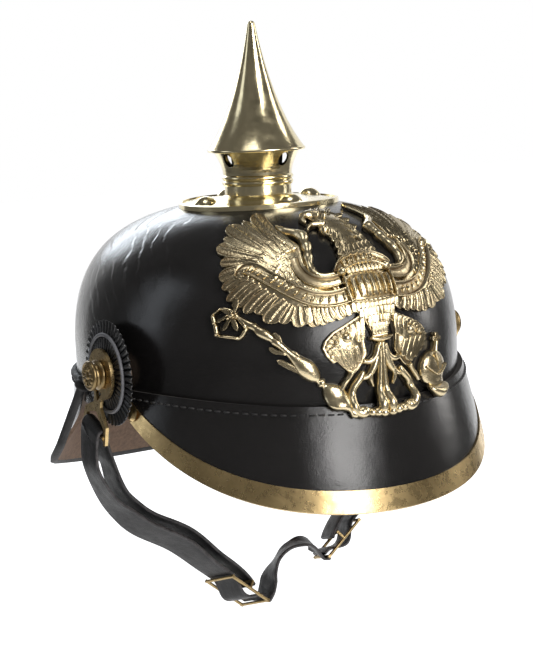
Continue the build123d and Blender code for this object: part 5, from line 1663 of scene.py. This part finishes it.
class HELMET_OT_stage(bpy.types.Operator):
    """Builds the pale floor, the dark flags, the lights and the camera"""
    bl_idname = "helmet.stage"
    bl_label = "Stage"

    def execute(self, context):
        stage = context.scene.helmet_stage
        self.make_world(context.scene, stage)
        self.make_floor(stage)
        self.make_flag(stage)
        for name, distance, turn, height, lean, width, tall, power, colour in SOFTBOXES:
            softbox(name, polar(distance, turn, height), lean, width, tall, power, colour)
        self.make_camera(context.scene, stage)
        context.scene.view_settings.view_transform = "Standard"
        return {"FINISHED"}

    def make_world(self, scene, stage):
        world = bpy.data.worlds.new("studio")
        scene.world = world
        world.use_nodes = True
        tree = world.node_tree
        dim = tree.nodes["Background"]
        dim.inputs["Strength"].default_value = stage.fill
        bright = tree.nodes.new("ShaderNodeBackground")
        bright.inputs["Color"].default_value = (*stage.backdrop, 1)
        mix = tree.nodes.new("ShaderNodeMixShader")
        tree.links.new(where_seen(tree), mix.inputs["Fac"])
        tree.links.new(dim.outputs["Background"], mix.inputs[1])
        tree.links.new(bright.outputs["Background"], mix.inputs[2])
        tree.links.new(mix.outputs["Shader"], tree.nodes["World Output"].inputs["Surface"])

    def make_floor(self, stage):
        """Pale floor whose own glow leaves room for the helmet's shadow."""
        bpy.ops.mesh.primitive_plane_add(size=FLOOR_SIZE, location=(0, 0, -stage.floor_drop))
        floor = bpy.context.object
        floor.name = "floor"
        material, tree, shader = new_material("floor white")
        shader.inputs["Base Color"].default_value = (*stage.backdrop, 1)
        shader.inputs["Roughness"].default_value = 0.9
        shader.inputs["Specular IOR Level"].default_value = 0.0
        shader.inputs["Emission Color"].default_value = (*stage.backdrop, 1)
        away = tree.nodes.new("ShaderNodeVectorMath")
        away.operation = "LENGTH"
        tree.links.new(place(tree), away.inputs[0])
        glow = ramp(tree, away.outputs["Value"], GLOW_START, GLOW_END, stage.floor_glow, 1.0)
        glow = combine(tree, "MULTIPLY", where_seen(tree), glow)
        tree.links.new(glow, shader.inputs["Emission Strength"])
        floor.data.materials.append(material)

    def make_flag(self, stage):
        """Dark cloth round the front and the top, seen only in reflections."""
        sheet = bmesh.new()
        columns = 48
        rings = []
        for i in range(columns):
            rings.append([sheet.verts.new(polar(r, 360 * i / columns, z)) for r, z in FLAG_OUTLINE])
        first, last = FLAG_OPEN_TURNS
        for i, ring in enumerate(rings):
            other = rings[(i + 1) % columns]
            open_here = first <= 360 * (i + 0.5) / columns <= last
            for row in range(len(ring) - 1):
                if not (open_here and row < FLAG_OPEN_ROWS):
                    sheet.faces.new((ring[row], other[row], other[row + 1], ring[row + 1]))
        mesh = bpy.data.meshes.new("flag")
        sheet.to_mesh(mesh)
        sheet.free()
        flag = bpy.data.objects.new("flag", mesh)
        bpy.context.scene.collection.objects.link(flag)
        for ray in ("camera", "diffuse", "transmission", "volume_scatter", "shadow"):
            setattr(flag, "visible_" + ray, False)
        material, _, shader = new_material("dark cloth")
        shader.inputs["Base Color"].default_value = (*stage.flag, 1)
        shader.inputs["Roughness"].default_value = 1.0
        shader.inputs["Specular IOR Level"].default_value = 0.0
        mesh.materials.append(material)

    def make_camera(self, scene, stage):
        data = bpy.data.cameras.new("camera")
        data.sensor_fit = "VERTICAL"
        data.sensor_height = SENSOR_HEIGHT
        data.lens = stage.lens
        camera = bpy.data.objects.new("camera", data)
        scene.collection.objects.link(camera)
        camera.location = CAMERA_PLACE
        camera.rotation_euler = [radians(turn) for turn in CAMERA_TURN]
        scene.camera = camera


class HELMET_PT_panel(bpy.types.Panel):
    bl_idname = "HELMET_PT_panel"
    bl_label = "Spiked Helmet"
    bl_space_type = "VIEW_3D"
    bl_region_type = "UI"
    bl_category = "Helmet"

    def draw(self, context):
        layout = self.layout
        for group in (context.scene.helmet_leather, context.scene.helmet_brass,
                      context.scene.helmet_plate, context.scene.helmet_stage):
            for name in group.__annotations__:
                layout.prop(group, name)
        for operator in OPERATORS:
            layout.operator(operator.bl_idname)


GROUPS = (HelmetLeather, HelmetBrass, HelmetPlate, HelmetStage)
OPERATORS = (HELMET_OT_leather, HELMET_OT_spike, HELMET_OT_trim, HELMET_OT_sides, HELMET_OT_strap,
             HELMET_OT_liner, HELMET_OT_eagle, HELMET_OT_stage)


def register():
    for cls in GROUPS + OPERATORS + (HELMET_PT_panel,):
        bpy.utils.register_class(cls)
    bpy.types.Scene.helmet_leather = bpy.props.PointerProperty(type=HelmetLeather)
    bpy.types.Scene.helmet_brass = bpy.props.PointerProperty(type=HelmetBrass)
    bpy.types.Scene.helmet_plate = bpy.props.PointerProperty(type=HelmetPlate)
    bpy.types.Scene.helmet_stage = bpy.props.PointerProperty(type=HelmetStage)


def unregister():
    del bpy.types.Scene.helmet_stage
    del bpy.types.Scene.helmet_plate
    del bpy.types.Scene.helmet_brass
    del bpy.types.Scene.helmet_leather
    for cls in reversed(GROUPS + OPERATORS + (HELMET_PT_panel,)):
        bpy.utils.unregister_class(cls)


def main():
    register()
    bpy.ops.helmet.leather()
    bpy.ops.helmet.spike()
    bpy.ops.helmet.trim()
    bpy.ops.helmet.sides()
    bpy.ops.helmet.strap()
    bpy.ops.helmet.liner()
    bpy.ops.helmet.eagle()
    bpy.ops.helmet.stage()


if __name__ == "__main__":
    main()
